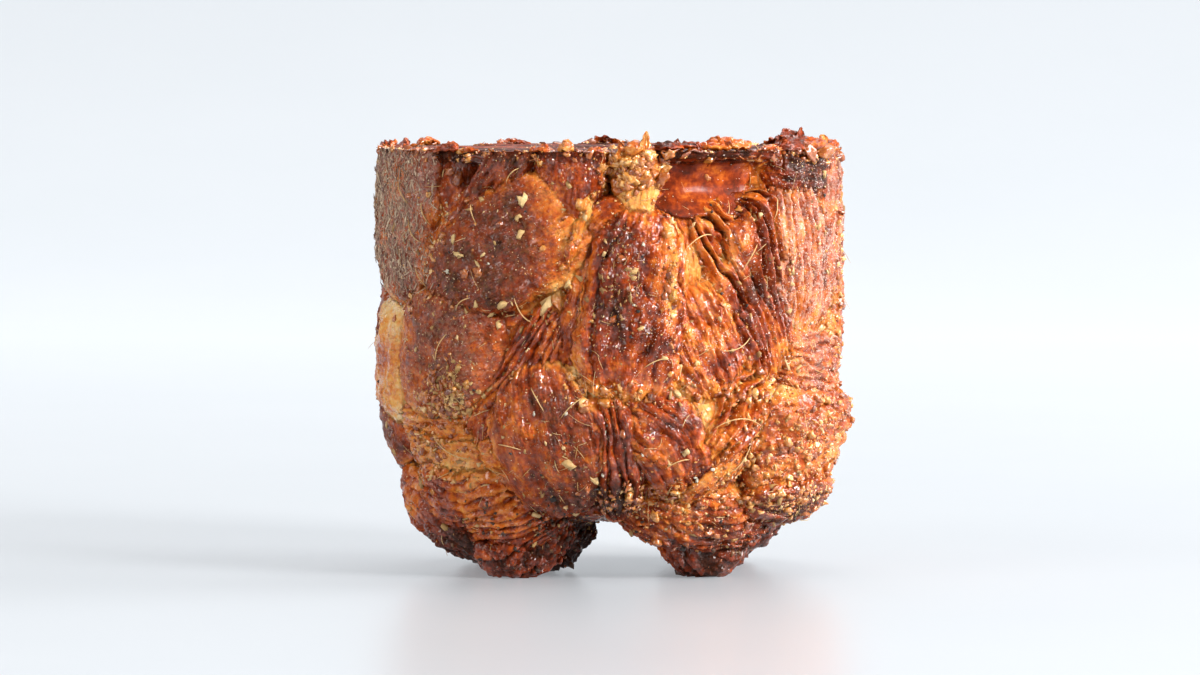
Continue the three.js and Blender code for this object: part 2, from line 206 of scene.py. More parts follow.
# The folds that the front shows, from the top left to the bottom right
front_folds = [
    fold("left band", [(-70, 80), (-70, 62), (-72, 46)], (28, 28, 22), dive=(0, 1), blunt=5,
         brown=0.62, dust=1.0, hem=0.0),
    fold("left band's flank", [(-47, 78), (-50, 62), (-62, 49)], 11, back=2.8, dive=(0, 1),
         brown=(0.86, 0.66, 0.6), dust=0.2, hem=0.0),
    fold("upper left ridge", [(-21, 79), (-31, 66), (-53, 52)], (12, 10, 8), back=0.6, dive=(0, 1),
         brown=(0.76, 0.7, 0.52), dust=0.25, layers=4),
    fold("upper left fold", [(-6, 63), (-29, 55.5), (-58, 48)], (18, 20, 9), dive=(1, 2), square=4.5,
         brown=(0.42, 0.68, 0.64), dust=0.45, lumpy=0.7),
    fold("glazed cap", [(-10, 80), (-11, 69), (-13, 58)], 13, back=0.7, dive=(0, 2),
         brown=(0.82, 0.7, 0.6), hem=0.1),
    fold("cream edge", [(-3, 67), (-8, 59), (-12, 46)], (3.4, 2.2, 2.4), deep=6, back=0.5, blunt=2.2,
         brown=(0.3, 0.4, 0.56), hem=0.0, lumpy=2.2),
    fold("left bulge", [(-100, 37), (-82, 36), (-60, 36)], 21, back=0.1, dive=(1, 2),
         brown=(0.45, 0.32, 0.38), hem=0.35, lumpy=0.9),
    fold("left fold", [(-69, 40), (-48, 38), (-25, 41)], (17, 22, 10), dive=(1, 2), square=4.5,
         brown=(0.5, 0.6, 0.66), dust=0.7, lumpy=0.8),
    fold("left fold's layers", [(-72, 27), (-54, 26), (-35, 26)], 8, back=0.7, layers=6, groove=0.9,
         brown=0.52, dust=0.15, coarse=0.7),
    fold("layered diagonal", [(-10, 48), (-24, 35), (-42, 21)], 11, back=1.2, layers=8, groove=0.9,
         brown=(0.74, 0.66, 0.6), dust=0.05, lumpy=0.5, coarse=0.6),
    fold("low left fold", [(-70, 20), (-52, 20), (-34, 18)], 11, back=0.8, layers=5, groove=0.5,
         brown=(0.5, 0.46, 0.58), dust=0.3),
    fold("pink fold", [(-20, 38), (-17, 26), (-13, 11)], (10, 21, 18), dive=(1, 2), square=4.5,
         brown=(0.52, 0.62, 0.72), dust=0.4, layers=6, groove=0.4),
    fold("tongue", [(-38, 21.5), (-28, 21), (-16, 18)], 6, back=0.4, layers=3, groove=0.5,
         brown=0.52, dust=0.1),
    fold("dark layers", [(-1, 35), (1, 24), (4, 10)], (13, 11, 10), back=0.3, layers=6, groove=1.1,
         brown=(0.46, 0.7, 0.78), dust=0.05, lumpy=0.5, coarse=0.6),
    fold("leaf", [(3, 30), (14, 25), (25, 14)], 14, layers=7, blunt=2.4, back=-0.2, groove=0.6,
         brown=(0.54, 0.68, 0.78), dust=0.1, coarse=0.65),
    fold("centre fold", [(9, 63), (5.5, 47), (3, 29.5)], (15, 18, 19), back=-1.3, square=5, layers=5,
         groove=0.6, brown=(0.56, 0.68, 0.54), coarse=0.7),
    fold("centre fold's edge", [(-2, 61), (-6, 48), (-11, 35)], 8, back=0.6, layers=4, groove=0.5,
         brown=(0.5, 0.7, 0.66), dust=0.15, coarse=0.8),
    fold("centre fold's hem", [(-15, 38), (-6, 34), (4, 31)], (2.2, 2.6, 2.4), deep=6, back=0.7, blunt=2.4,
         brown=(0.5, 0.42, 0.5), dust=0.1, hem=0.0, lumpy=2.2),
    fold("dome", [(-7, 56), (0, 61), (6, 57)], 8, back=1.2,
         brown=0.5, hem=0.0, lumpy=0.4),
    fold("neck", [(7, 79), (7, 68), (6, 56)], (11, 9, 5), back=1.4, dive=(0, 1),
         brown=0.3, hem=0.0, lumpy=0.8),
    # The amber hollow's deep red is syrup; its browning falls from its left end to the right as painted
    # shade and painted light
    fold("amber hollow", [(8, 66.8), (29, 66.8), (54, 66.4)], 11.5, back=1.4, sag=3.8, square=6,
         brown=(0.86, 0.67, 0.62), hem=0.0, lumpy=0.03),
    fold("lip", [(8, 71.4), (29, 72.0), (52, 71.4)], 2.8, deep=6, back=0.2,
         brown=(0.8, 0.7, 0.62), lumpy=0.8),
    fold("pale strip", [(19, 62.8), (19, 55), (20, 43)], 8, back=2.2, layers=2, groove=0.3,
         brown=(0.56, 0.55, 0.6), hem=0.0, lumpy=0.3),
    fold("first leaves", [(24, 62.6), (30, 55), (40, 43)], 10, back=0.8, layers=4, groove=2.1, blunt=6,
         brown=(0.54, 0.63, 0.78), lumpy=0.3, coarse=0.5),
    fold("deep leaves", [(37, 64), (41, 56), (46, 43)], 14, back=0.1, layers=5, groove=2.6, blunt=5,
         brown=(0.58, 0.64, 0.7), dust=0.25, lumpy=0.6, coarse=0.5),
    fold("right shoulder", [(54, 69), (57, 55), (56, 40)], 19, layers=9, groove=1.1,
         brown=(0.62, 0.54, 0.52), dust=1.5, lumpy=0.6, coarse=0.6),
    fold("orange fold", [(17, 51), (24, 41), (32, 29)], (12, 15, 13), back=0.7, layers=7, groove=0.6,
         brown=(0.62, 0.58, 0.54), coarse=0.6),
    fold("fine leaves", [(38, 50), (43, 42), (48, 31)], 14, back=0.5, layers=10, groove=1.0,
         brown=0.6, dust=0.05, lumpy=0.7, coarse=0.55),
    fold("glazed shoulder", [(46, 70), (59, 68.5), (78, 68)], 9, back=0.1, layers=4, groove=0.6,
         brown=0.82, coarse=0.7),
    fold("right edge", [(77, 80), (76, 60), (76, 42)], 18, back=0.2, dive=(0, 2), blunt=5, layers=4,
         groove=0.5, brown=0.58, dust=1.0),
    fold("level leaves", [(44, 37), (64, 35.5), (98, 35)], 13, back=0.2, layers=7, groove=0.9,
         brown=0.56, dust=0.9, coarse=0.7),
    fold("fan", [(49, 33), (37, 27), (25, 14)], (11, 15, 10), back=0.5, layers=7, groove=1.6,
         brown=(0.6, 0.6, 0.56), lumpy=0.5, coarse=0.5),
    fold("pale strip below", [(20, 34), (26, 25), (29, 16)], 8, back=2,
         brown=0.48, hem=0.0, lumpy=0.6),
    fold("orange strip", [(41, 23), (30, 18), (20, 12)], (4, 5, 4), back=0.3, layers=2, groove=0.5,
         brown=0.52),
    fold("crumbed fold", [(40, 23), (62, 22), (100, 21)], 20, back=-2, dive=(1, 2), layers=5,
         brown=0.55, dust=0.6),
    fold("ledge", [(40, 13.5), (64, 12.5), (94, 13.5)], (7, 8, 5), back=-4.2, layers=3, groove=0.9,
         brown=0.64, dust=0.2),
]

# The ends of the knot that came out of the tin's mouth and bear the bun, each with its face turned down
feet = [
    fold("left foot", [(-80, 13.5, 34.5, 25), (-46, 8.5, 33, 40), (-11, 13.5, 30, 25)], (17, 21, 12),
         deep=12, square=2.5, layers=13, brown=(0.62, 0.56, 0.66), dust=0.05, lumpy=0.8,
         coarse=0.55),
    fold("left foot's flank", [(-94, 18, 36, 10), (-70, 7.5, 34, 35), (-38, 1, 26, 75)], (12, 13, 11),
         square=2.2, layers=8, groove=0.8, brown=(0.5, 0.66, 0.76), dust=0.05, lumpy=0.8, coarse=0.6),
    fold("left foot's tip", [(-66, 5, 28, 50), (-41, -0.3, 25.5, 75), (-14, 8, 25, 50)], (12, 13, 10),
         square=2, layers=6, groove=1.1, brown=0.6, hem=0.0, coarse=0.7),
    fold("charred foot", [(-84, 9, 16, 60), (-54, 0.4, 12.5, 85), (-4, 9, 9, 60)], (10, 9, 9), deep=6,
         square=2.4, layers=3, brown=1.0, hem=0.0, lumpy=2.4),
    fold("right foot", [(-2, 12, 30, 30), (36, 7.5, 31.5, 40), (66, 11, 34, 25)], (12, 14, 13), deep=11,
         square=2.5, layers=8, brown=(0.66, 0.58, 0.52), dust=0.3, coarse=0.7),
    fold("right foot's tip", [(20, 7, 26, 50), (45, -0.3, 24.5, 75), (70, 6, 28, 50)], (9, 11, 11),
         square=2, layers=5, groove=1.1, brown=0.58, dust=0.1, hem=0.0, coarse=0.7),
    fold("right rear foot", [(82, 12, 33, 30), (124, 7, 33, 45), (160, 12, 32, 30)], 20, deep=11,
         layers=8, groove=0.5, brown=0.62, dust=0.2, coarse=1.4),
    fold("right rear foot's tip", [(96, 8, 26, 60), (128, -0.5, 25, 80), (158, 8, 25, 60)], 15,
         square=2.2, layers=4, brown=0.7, dust=0.1, hem=0.0, coarse=1.4),
    fold("left rear foot", [(-84, 12, 33, 30), (-126, 7, 33, 45), (-162, 12, 32, 30)], 20, deep=11,
         layers=8, groove=0.5, brown=0.6, dust=0.2, coarse=1.4),
    fold("left rear foot's tip", [(-98, 8, 26, 60), (-130, -0.5, 25, 80), (-160, 8, 25, 60)], 15,
         square=2.2, layers=4, brown=0.7, dust=0.1, hem=0.0, coarse=1.4),
]


# Repeatable random numbers from 0 to 1, the same as the solid's own
def random_from(seed):
    state = seed
    while True:
        state = (state * 1664525 + 1013904223) % 4294967296
        yield state / 4294967296


# The side that the front hides: three courses of folds that lean one way and then the other
REAR_FROM = 82
REAR_TO = 282
REAR_COURSES = ((62, 6, 9, 20), (42, 5, -9, 19), (23, 6, 7, 17))  # height, count, lean, width


def rear_folds():
    draw = random_from(SEED)
    look = np.random.default_rng(SEED)
    folds = []
    for row, (height, count, lean, wide) in enumerate(REAR_COURSES):
        step = (REAR_TO - REAR_FROM) / count
        for k in range(count):
            angle = REAR_FROM + step * (k + 0.5)
            reach = step * 0.75
            up = height + 2 * (next(draw) - 0.5)
            bow = 3 * (next(draw) - 0.5)
            width = wide + 3 * next(draw)
            back = 0.8 * next(draw) - 0.4
            layered = next(draw) < 0.6
            blunt = 2.8 + 0.8 * next(draw)
            stops = [(angle - reach, up - lean), (angle, up + bow), (angle + reach, up + lean)]
            brown = look.uniform(0.52, 0.76)
            folds.append(
                fold(f"rear fold {row}-{k}", stops, width, back=back, blunt=blunt, coarse=1.45,
                     layers=int(look.integers(5, 9)) if layered else 3, groove=1.0 if layered else 0.4,
                     brown=(brown - 0.12, brown, brown), dust=look.uniform(0.1, 0.8))
            )
    return folds


# The knot's arms under the tin's base: they curl out of the middle and were pressed flat
def top_folds():
    arms = 7
    face = -90
    folds = []
    for k in range(arms):
        angle = 360 / arms * k
        up = HEIGHT + 1 + 0.3 * ((k * 2) % 3)
        stops = [(angle, up, 2, face), (angle + 40, up, 21, face), (angle + 82, up - 0.3, 33, face)]
        folds.append(fold(f"top arm {k}", stops, (11, 17, 12), dive=(0.6, 0.8), blunt=3, coarse=1.8,
                          layers=4, groove=0.3, brown=0.74, dust=0.1))
    return folds


FACE_STEP = 0.4  # spacing of the mesh across a fold's face
RUN_STEP = 0.54  # and along it
REAR_POINTS = 6  # points across its hidden side
CRUST_TRIANGLES = 196000  # what the joined crust is thinned to
MEAN_BAKE = 0.57  # how brown the crust is on average
CONTRAST = 1.3  # how far it strays from that


# A value along a fold that has one value, or three: at its start, middle and end
def varied(value, t):
    stops = value if isinstance(value, tuple) else (value,) * 3
    return along(np.array(stops, float)[:, None], t)[..., 0]


# Numbers of the points round a ring, of the points next to them, and the triangles that fill the ring
def ring_of(count):
    j = np.arange(count)
    return j, (j + 1) % count, stack(0, j[1:-1], j[2:])


# Faces of a closed body of rings, with one point before the first ring and one behind the last
def ring_faces(rings, around):
    j, ahead, _ = ring_of(around)
    low = (1 + np.arange(rings - 1) * around)[:, None]
    quads = stack(low + j, low + ahead, low + around + ahead, low + around + j)
    last = rings * around + 1
    foot = stack(0, 1 + ahead, 1 + j)
    head = stack(last, last - around + j, last - around + ahead)
    return quads.reshape(-1, 4), np.concatenate([foot, head])


# One fold as a closed swept mesh: points in millimetres, faces, and what its crust is like at each point
def fold_mesh(number, f):
    place = on_wall(f.stops) if len(f.stops[0]) == 2 else in_space(f.stops)
    trail = place(np.linspace(0, 1, 30), np.zeros(30), np.zeros(30))
    length = np.linalg.norm(np.diff(trail, axis=0), axis=1).sum()
    rows = max(16, int(length / (RUN_STEP * f.coarse) * math.pi / 2))
    columns = max(14, int(np.max(f.wide) / (FACE_STEP * f.coarse) * math.pi / 2))

    # t runs from 0 to 1 along the fold, and u from 1 to -1 across its face and back on its hidden side.
    # Steps are smaller near the ends and edges.
    t = (1 - np.cos(math.pi * np.arange(1, rows) / rows)) / 2
    front = np.sin(np.linspace(1, -1, columns + 1) * math.pi / 2)
    rear = np.linspace(-1, 1, REAR_POINTS + 2)[1:-1]
    t, u = np.meshgrid(t, np.concatenate([front, rear]), indexing="ij")
    facing = np.where(np.arange(u.shape[1]) <= columns, 1.0, -1.0)

    # The outline: blunt ends that dive, and edges that wander
    ends = 2 * t - 1
    swell = (1 - np.abs(ends) ** f.blunt) ** (1 / f.blunt)
    sunk = f.back + np.where(ends < 0, *f.dive) * ends**4
    s = t * length  # in millimetres
    key = np.full_like(s, number * 7.31)

    def grid(x, y):
        return noise(stack(x, y, key).reshape(-1, 3)).reshape(s.shape)

    wander = 0.13 * grid(s / 6, np.sign(u) * 3.0) + 0.05 * grid(s / 1.7, np.sign(u) * 9.0)
    across = u * varied(f.wide, t) / 2 * swell * (1 + wander * np.abs(u) ** 2)
    rise = np.maximum(1 - np.abs(u) ** f.square, 0) ** (1 / f.square) * facing

    # The face: lumps and wrinkles, a sag, and grooves between the layers
    face = smooth(0.0, 0.75, rise) * swell
    lump = 0.6 * grid(s / 7, across / 5) + 0.25 * grid(s / 3.2, across / 2.2)
    crinkle = 1 - np.abs(grid(s / 4.5 + 13, across / 1.3))
    lump = lump + 0.24 * (crinkle - 0.8) * smooth(-0.5, 0.4, grid(s / 9, across / 6 + 21))
    lump = lump * f.lumpy - f.sag * (1 - u**2)
    crest = np.ones_like(s)
    cut = np.zeros_like(s)
    if f.layers:
        leaf = (u * 0.5 + 0.5) * f.layers
        leaf = leaf + 1.0 * grid(s / 9, u * 1.6) + 0.22 * grid(s / 2.8, u * 4.0)
        crest = np.abs(np.sin(math.pi * leaf)) ** 0.7
        depth = smooth(-0.7, 0.5, grid(s / 7 + 31, across / 2.5))
        cut = 1.7 * f.groove * ((1 - crest) * (0.35 + 0.65 * depth) - 0.25 * (leaf % 1 - 0.5))
        fine = np.abs(np.sin(math.pi * (leaf * 3.0 + 0.4 * grid(s / 1.7, u * 9))))
        cut = cut + 0.16 * min(1.0, f.groove + 0.4) * (1 - fine)
    outward = (rise * swell - 1) * f.deep / 2 - sunk + (lump - cut) * face

    def tip(end):
        rise = -f.back - f.dive[end] - f.deep / 2
        return place(np.array([float(end)]), np.zeros(1), np.array([rise]))

    points = np.concatenate([tip(0), place(t, across, outward).reshape(-1, 3), tip(1)])

    # How brown and how dusty: crests and edges are paler, and dust lies on crests
    bake = varied(f.brown, t) + 0.1 * grid(s / 5 + 9, across / 4) + 0.05 * grid(s / 1.6, across / 1.3)
    bake = bake - 0.14 * (crest - 0.65) * min(1, f.layers)
    edge = np.maximum(smooth(0.78, 1.0, np.abs(u)), smooth(0.85, 1.0, np.abs(ends)))
    bake = bake - f.hem * 0.55 * edge * (0.6 + 0.4 * grid(s / 3, u * 2 + 5))
    dust_and_sheen = f.dust * smooth(-0.6, 0.5, grid(s / 4 + 3, across / 3) + 0.5) * (0.35 + 0.65 * crest) * face

    def ends_of(values):
        return np.concatenate([[values[0].mean()], values.ravel(), [values[-1].mean()]])

    looks = {
        "bake": ends_of(bake),
        "dust": ends_of(dust_and_sheen),
        "lumpy": np.full(s.size + 2, float(f.lumpy)),
        "grain": stack(ends_of(s), ends_of(across), ends_of(key)),
    }
    return points, ring_faces(*u.shape), looks


def write_look(mesh, key, values):
    kind, field = ("FLOAT_VECTOR", "vector") if values.ndim == 2 else ("FLOAT", "value")
    if key in mesh.attributes:
        mesh.attributes.remove(mesh.attributes[key])
    mesh.attributes.new(key, kind, "POINT").data.foreach_set(field, values.astype(np.float32).ravel())


def write_points(mesh, points):
    mesh.vertices.foreach_set("co", (points * MM).astype(np.float32).ravel())


def read(items, field, wide=1, kind=np.float32):
    values = np.empty(len(items) * wide, kind)
    items.foreach_get(field, values)
    return values.reshape(-1, wide) if wide > 1 else values


def read_look(mesh, key):
    look = mesh.attributes[key]
    field, wide = ("vector", 3) if look.data_type == "FLOAT_VECTOR" else ("value", 1)
    return read(look.data, field, wide).astype(float)


def read_points(mesh):
    return read(mesh.vertices, "co", 3).astype(float) / MM


def normals_of(mesh):
    return read(mesh.vertex_normals, "vector", 3).astype(float)


def triangles_of(mesh):
    mesh.calc_loop_triangles()
    return read(mesh.loop_triangles, "vertices", 3, np.int32)


# A mesh from points in millimetres and arrays of faces, each with its own count of corners
def mesh_from(name, points, faces, looks):
    mesh = bpy.data.meshes.new(name)
    corners = np.concatenate([group.ravel() for group in faces]).astype(np.int32)
    sizes = np.concatenate([np.full(len(group), group.shape[1]) for group in faces])
    starts = np.concatenate([[0], np.cumsum(sizes)[:-1]]).astype(np.int32)
    mesh.vertices.add(len(points))
    write_points(mesh, points)
    mesh.loops.add(len(corners))
    mesh.loops.foreach_set("vertex_index", corners)
    mesh.polygons.add(len(sizes))
    mesh.polygons.foreach_set("loop_start", starts)
    mesh.update(calc_edges=True)
    for key, values in looks.items():
        write_look(mesh, key, values)
    return mesh


# Several bodies as one mesh, each given by its points, its arrays of faces and its looks
def joined_mesh(name, bodies):
    groups, start = [], 0
    for points, faces, _ in bodies:
        groups.extend(group + start for group in faces)
        start += len(points)
    looks = {key: np.concatenate([look[key] for _, _, look in bodies]) for key in bodies[0][2]}
    return mesh_from(name, np.concatenate([points for points, _, _ in bodies]), groups, looks)


def shade_smooth(mesh):
    mesh.polygons.foreach_set("use_smooth", np.ones(len(mesh.polygons), bool))


def show(name, data):
    piece = bpy.data.objects.new(name, data)
    bpy.context.scene.collection.objects.link(piece)
    return piece


# A finished mesh as a piece that belongs to the bun
def dress(name, mesh, material):
    mesh.materials.append(material)
    piece = show(name, mesh)
    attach(piece, "root")


# Spots on the wall: angle, height, spread around and up
AMBER_HOLLOW = (25, 66.5, 10, 3.4)
DULL_SYRUP = (27, 66.8, 13, 3.6)
NECK = (6, 69.5, 3.6, 2.6)
HUSK_HEAP = (-43, 31.5, 4.2, 3)
CHARRED_FOOT = (-20, 6, 14, 6)
# Where the wall is hollow: the same, and the depth
HOLLOWS = (
    (27, 67, 14, 5.5, 4.6), (-40, 67.5, 5, 5, 4), (-0.5, 64.5, 3, 3, 3.6), (13.5, 62.5, 3, 3, 3.6),
)
# Where syrup gathered and burnt, or dough stayed pale, and painted shade in the left hollow and the caves
# by the neck, and painted light paling the centre fold's right side: the same, and how much browner
BROWNING_SHADE_AND_LIGHT = (
    (-41, 67.5, 4.6, 6.5, 0.1), (-24, 69, 2.4, 2.4, 0.1), (-0.5, 64.5, 2.6, 2, 0.25),
    (13.5, 62.5, 2.4, 2, 0.25), (2, 49, 3, 8, 0.16), (-29, 45, 8, 2, 0.15), (40, 55, 3, 6, 0.1),
    (8, 12.5, 8, 3, 0.02), (-24, 58, 6, 6, 0.06), (60, 12, 14, 2.4, 0.06), (-42, 31, 5, 3, -0.08),
    (11, 50, 3, 11, -0.14), (14.5, 50, 1.1, 10, -0.3), (-64, 62, 9, 14, -0.05), (50, 33, 6, 3, 0.12),
    (110, 45, 24, 30, 0.06), (-77, 37, 3, 4, 0.12), (-41, 30, 2, 1.4, 0.25),
)


# The dough behind the folds: a drum with a hollowed foot, from a profile of radius and height
def core_mesh():
    profile = np.array([
        (0, CORE_FOOT), (14, CORE_FOOT), (27, CORE_FOOT + 2), (CORE_RADIUS - 2, CORE_FOOT + 11),
        (CORE_RADIUS, CORE_FOOT + 20), (CORE_RADIUS, HEIGHT - PRESSED), (0, HEIGHT - PRESSED),
    ])
    reach = np.concatenate([[0], np.cumsum(np.linalg.norm(np.diff(profile, axis=0), axis=1))])
    at = np.linspace(0, reach[-1], int(reach[-1] / CORE_STEP) + 1)[1:-1]
    radius = np.interp(at, reach, profile[:, 0])[:, None]
    height = np.interp(at, reach, profile[:, 1])[:, None]
    angle = np.linspace(0, 2 * math.pi, CORE_AROUND, endpoint=False)
    rings = spot(angle, radius, height)
    points = np.concatenate([[(0, 0, profile[0, 1])], rings.reshape(-1, 3), [(0, 0, profile[-1, 1])]])
    away = unit(points * (1, 1, 0) - (0, 0, 4) * (points[:, 2:] < CORE_FOOT + 12))
    rough = noise.rough(points / 5)
    top = points[:, 2] > HEIGHT - 2 * PRESSED
    under = smooth(26, 12, points[:, 2])
    points = points + away * np.where(top, 0, 0.7 * rough - drifts(points, HOLLOWS))[:, None]
    looks = {
        "bake": 0.5 + 0.25 * under + 0.25 * top + 0.1 * rough,
        "dust": 0 * rough,
        "lumpy": 0 * rough + 0.8,
        "grain": points * 0.7,
    }
    return points, ring_faces(len(at), CORE_AROUND), looks


# What presses the bun flat: the tin's base above, pitted by butter and sugar, and the table below
def press_mesh(low, high, step, relief):
    span = 1.2 * TIN_RADIUS
    count = int(2 * span / step) + 1
    x, y = np.meshgrid(np.linspace(-span, span, count), np.linspace(-span, span, count))
    flat = stack(x, y, 0).reshape(-1, 3)
    bottom = flat + (0, 0, low)
    if relief:
        bottom[:, 2] += relief * (noise.rough(flat / 3.5) - 0.6) + 0.1 * np.abs(noise(flat / 1.1))
    points = np.concatenate([bottom, flat + (0, 0, high)])
    above = count * count
    number = np.arange(above).reshape(count, count)
    a = number[:-1, :-1].ravel()
    sheet = stack(a, a + count, a + count + 1, a + 1)
    sides = [
        stack(edge[:-1], edge[1:], edge[1:] + above, edge[:-1] + above)
        for edge in (number[0], number[:, -1], number[-1, ::-1], number[::-1, 0])
    ]
    streak = noise.rough(points / (6, 6, 50))
    looks = {
        "bake": 0.85 + 0.12 * streak,
        "dust": 0.1 + 0.1 * noise(points / 2.5),
        "lumpy": 0 * streak + 0.4,
        "grain": points * (1, 1, 0) + (0, 0, 700),
    }
    return points, (np.concatenate([sheet, sheet[:, ::-1] + above, *sides]),), looks


def evaluated(piece):
    return bpy.data.meshes.new_from_object(piece.evaluated_get(bpy.context.evaluated_depsgraph_get()))


# All folds joined to one closed crust, with what each point of it is like. Points where folds meet are new,
# and known is less than 1 there.
def crust_mesh():
    def body(name, made):
        points, faces, looks = made
        return mesh_from(name, points, faces, {**looks, "known": np.ones(len(points))})

    folds = [*front_folds, *feet, *rear_folds(), *top_folds()]
    knot = [body(f.name, fold_mesh(number, f)) for number, f in enumerate(folds)]
    tin = body("tin", press_mesh(HEIGHT, HEIGHT + 16, step=0.75, relief=0.12))
    table = body("table", press_mesh(-12, 0, step=8, relief=0))
    core = show("core", body("core", core_mesh()))
    for operation, meshes in (("UNION", knot), ("DIFFERENCE", (tin, table))):
        collection = bpy.data.collections.new(operation)
        for mesh in meshes:
            collection.objects.link(bpy.data.objects.new(mesh.name, mesh))
        step = core.modifiers.new(operation, "BOOLEAN")
        step.operation = operation
        step.operand_type = "COLLECTION"
        step.collection = collection
        step.solver = "MANIFOLD"
    joined = evaluated(core)
    for step in core.modifiers:
        for other in list(step.collection.objects):
            bpy.data.objects.remove(other)
        bpy.data.collections.remove(step.collection)
    bpy.data.objects.remove(core)
    return joined


# Values at the points where folds meet, which the joining leaves empty: the mean of their neighbours'
def fill_in(mesh, known, values):
    a, b = read(mesh.edges, "vertices", 2, np.int32).T
    flat = values.reshape(len(values), -1).copy()
    known = known.copy()
    for _ in range(4):
        total = np.zeros_like(flat)
        weight = np.zeros(len(flat))
        for start, end in ((a, b), (b, a)):
            use = known[start]
            np.add.at(total, end[use], flat[start[use]])
            np.add.at(weight, end[use], 1)
        new = ~known & (weight > 0)
        flat[new] = total[new] / weight[new, None]
        known = known | new
    return flat.reshape(values.shape)


# How far each point of the wall lies behind the crests round it, in millimetres
def behind_crests(points, reach=3, cell=1.0):
    angle, height = on_the_wall(points)
    around = int(2 * math.pi * TIN_RADIUS / cell)
    column = np.clip(((angle + 180) / 360 * around).astype(int), 0, around - 1)
    row = np.clip((height / cell).astype(int), 0, int(HEIGHT / cell))
    radius = np.hypot(points[:, 0], points[:, 1])
    crest = np.zeros((int(HEIGHT / cell) + 1, around))
    np.maximum.at(crest, (row, column), radius)
    for axis in (0, 1):
        crest = np.max([np.roll(crest, k, axis) for k in range(-reach, reach + 1)], axis=0)
    for axis in (0, 1, 0, 1):
        crest = np.mean([np.roll(crest, k, axis) for k in range(-reach, reach + 1)], axis=0)
    return crest[row, column] - radius


# How open each point is, from 0 in a deep crease to 1 on a crest, felt by short rays
def openness(points, normals, triangles, reach=6.0, rays=10):
    tree = BVHTree.FromPolygons(points.tolist(), triangles.tolist())
    rng = np.random.default_rng(SEED)
    spray = unit(rng.normal(size=(rays, 3)))
    spray = unit(spray + 1.15 * np.sign(spray[:, 2:]) * (0, 0, 1))
    spray[:, 2] = np.abs(spray[:, 2])
    aside = unit(np.cross(normals, (0.31, 0.52, 0.79)))
    other = np.cross(normals, aside)
    free = np.zeros(len(points))
    starts = points + normals * 0.08
    for x, y, z in spray:
        ways = aside * x + other * y + normals * z
        cast = tree.ray_cast
        hits = [cast(start, way, reach)[3] for start, way in zip(starts.tolist(), ways.tolist())]
        free += np.array([1.0 if hit is None else (hit / reach) ** 0.7 for hit in hits])
    return free / rays


# Angle in degrees from the front, and height in millimetres, of points
def on_the_wall(points):
    return np.degrees(np.arctan2(points[:, 0], -points[:, 1])), points[:, 2]


def blob(points, angle, height, around, tall):
    at, up = on_the_wall(points)
    off = ((at - angle + 180) % 360 - 180) * math.pi / 180 * TIN_RADIUS
    return np.exp(-((off / around) ** 2) - ((up - height) / tall) ** 2)


# The same mesh with fewer triangles, which stay close together only where the form asks for it
def thinned(mesh, most):
    piece = show("dense", mesh)
    step = piece.modifiers.new("thin", "DECIMATE")
    step.ratio = min(1.0, most / len(triangles_of(mesh)))
    thin = evaluated(piece)
    bpy.data.objects.remove(piece)
    return thin


# How far the oven raised each point of the crust, in millimetres: swellings, blisters and cracks
def raised(points):
    cracks = smooth(0.16, 0.0, np.abs(noise(points / 3.4 + 60))) * smooth(-0.2, 0.3, noise(points / 9 + 80))
    drift = stack(*(noise(points / 1.9 + 30 * k) for k in (1, 2, 3)))
    blistered = 0.15 + 0.85 * smooth(-0.1, 0.5, noise(points / 8 + 11))
    swellings = 0.28 * noise.rough(points / 2.9) + 0.1 * noise(points / 0.9)
    return swellings - 0.3 * cracks + 0.4 * (blisters(points / 1.75 + 0.5 * drift) - 0.6) * blistered


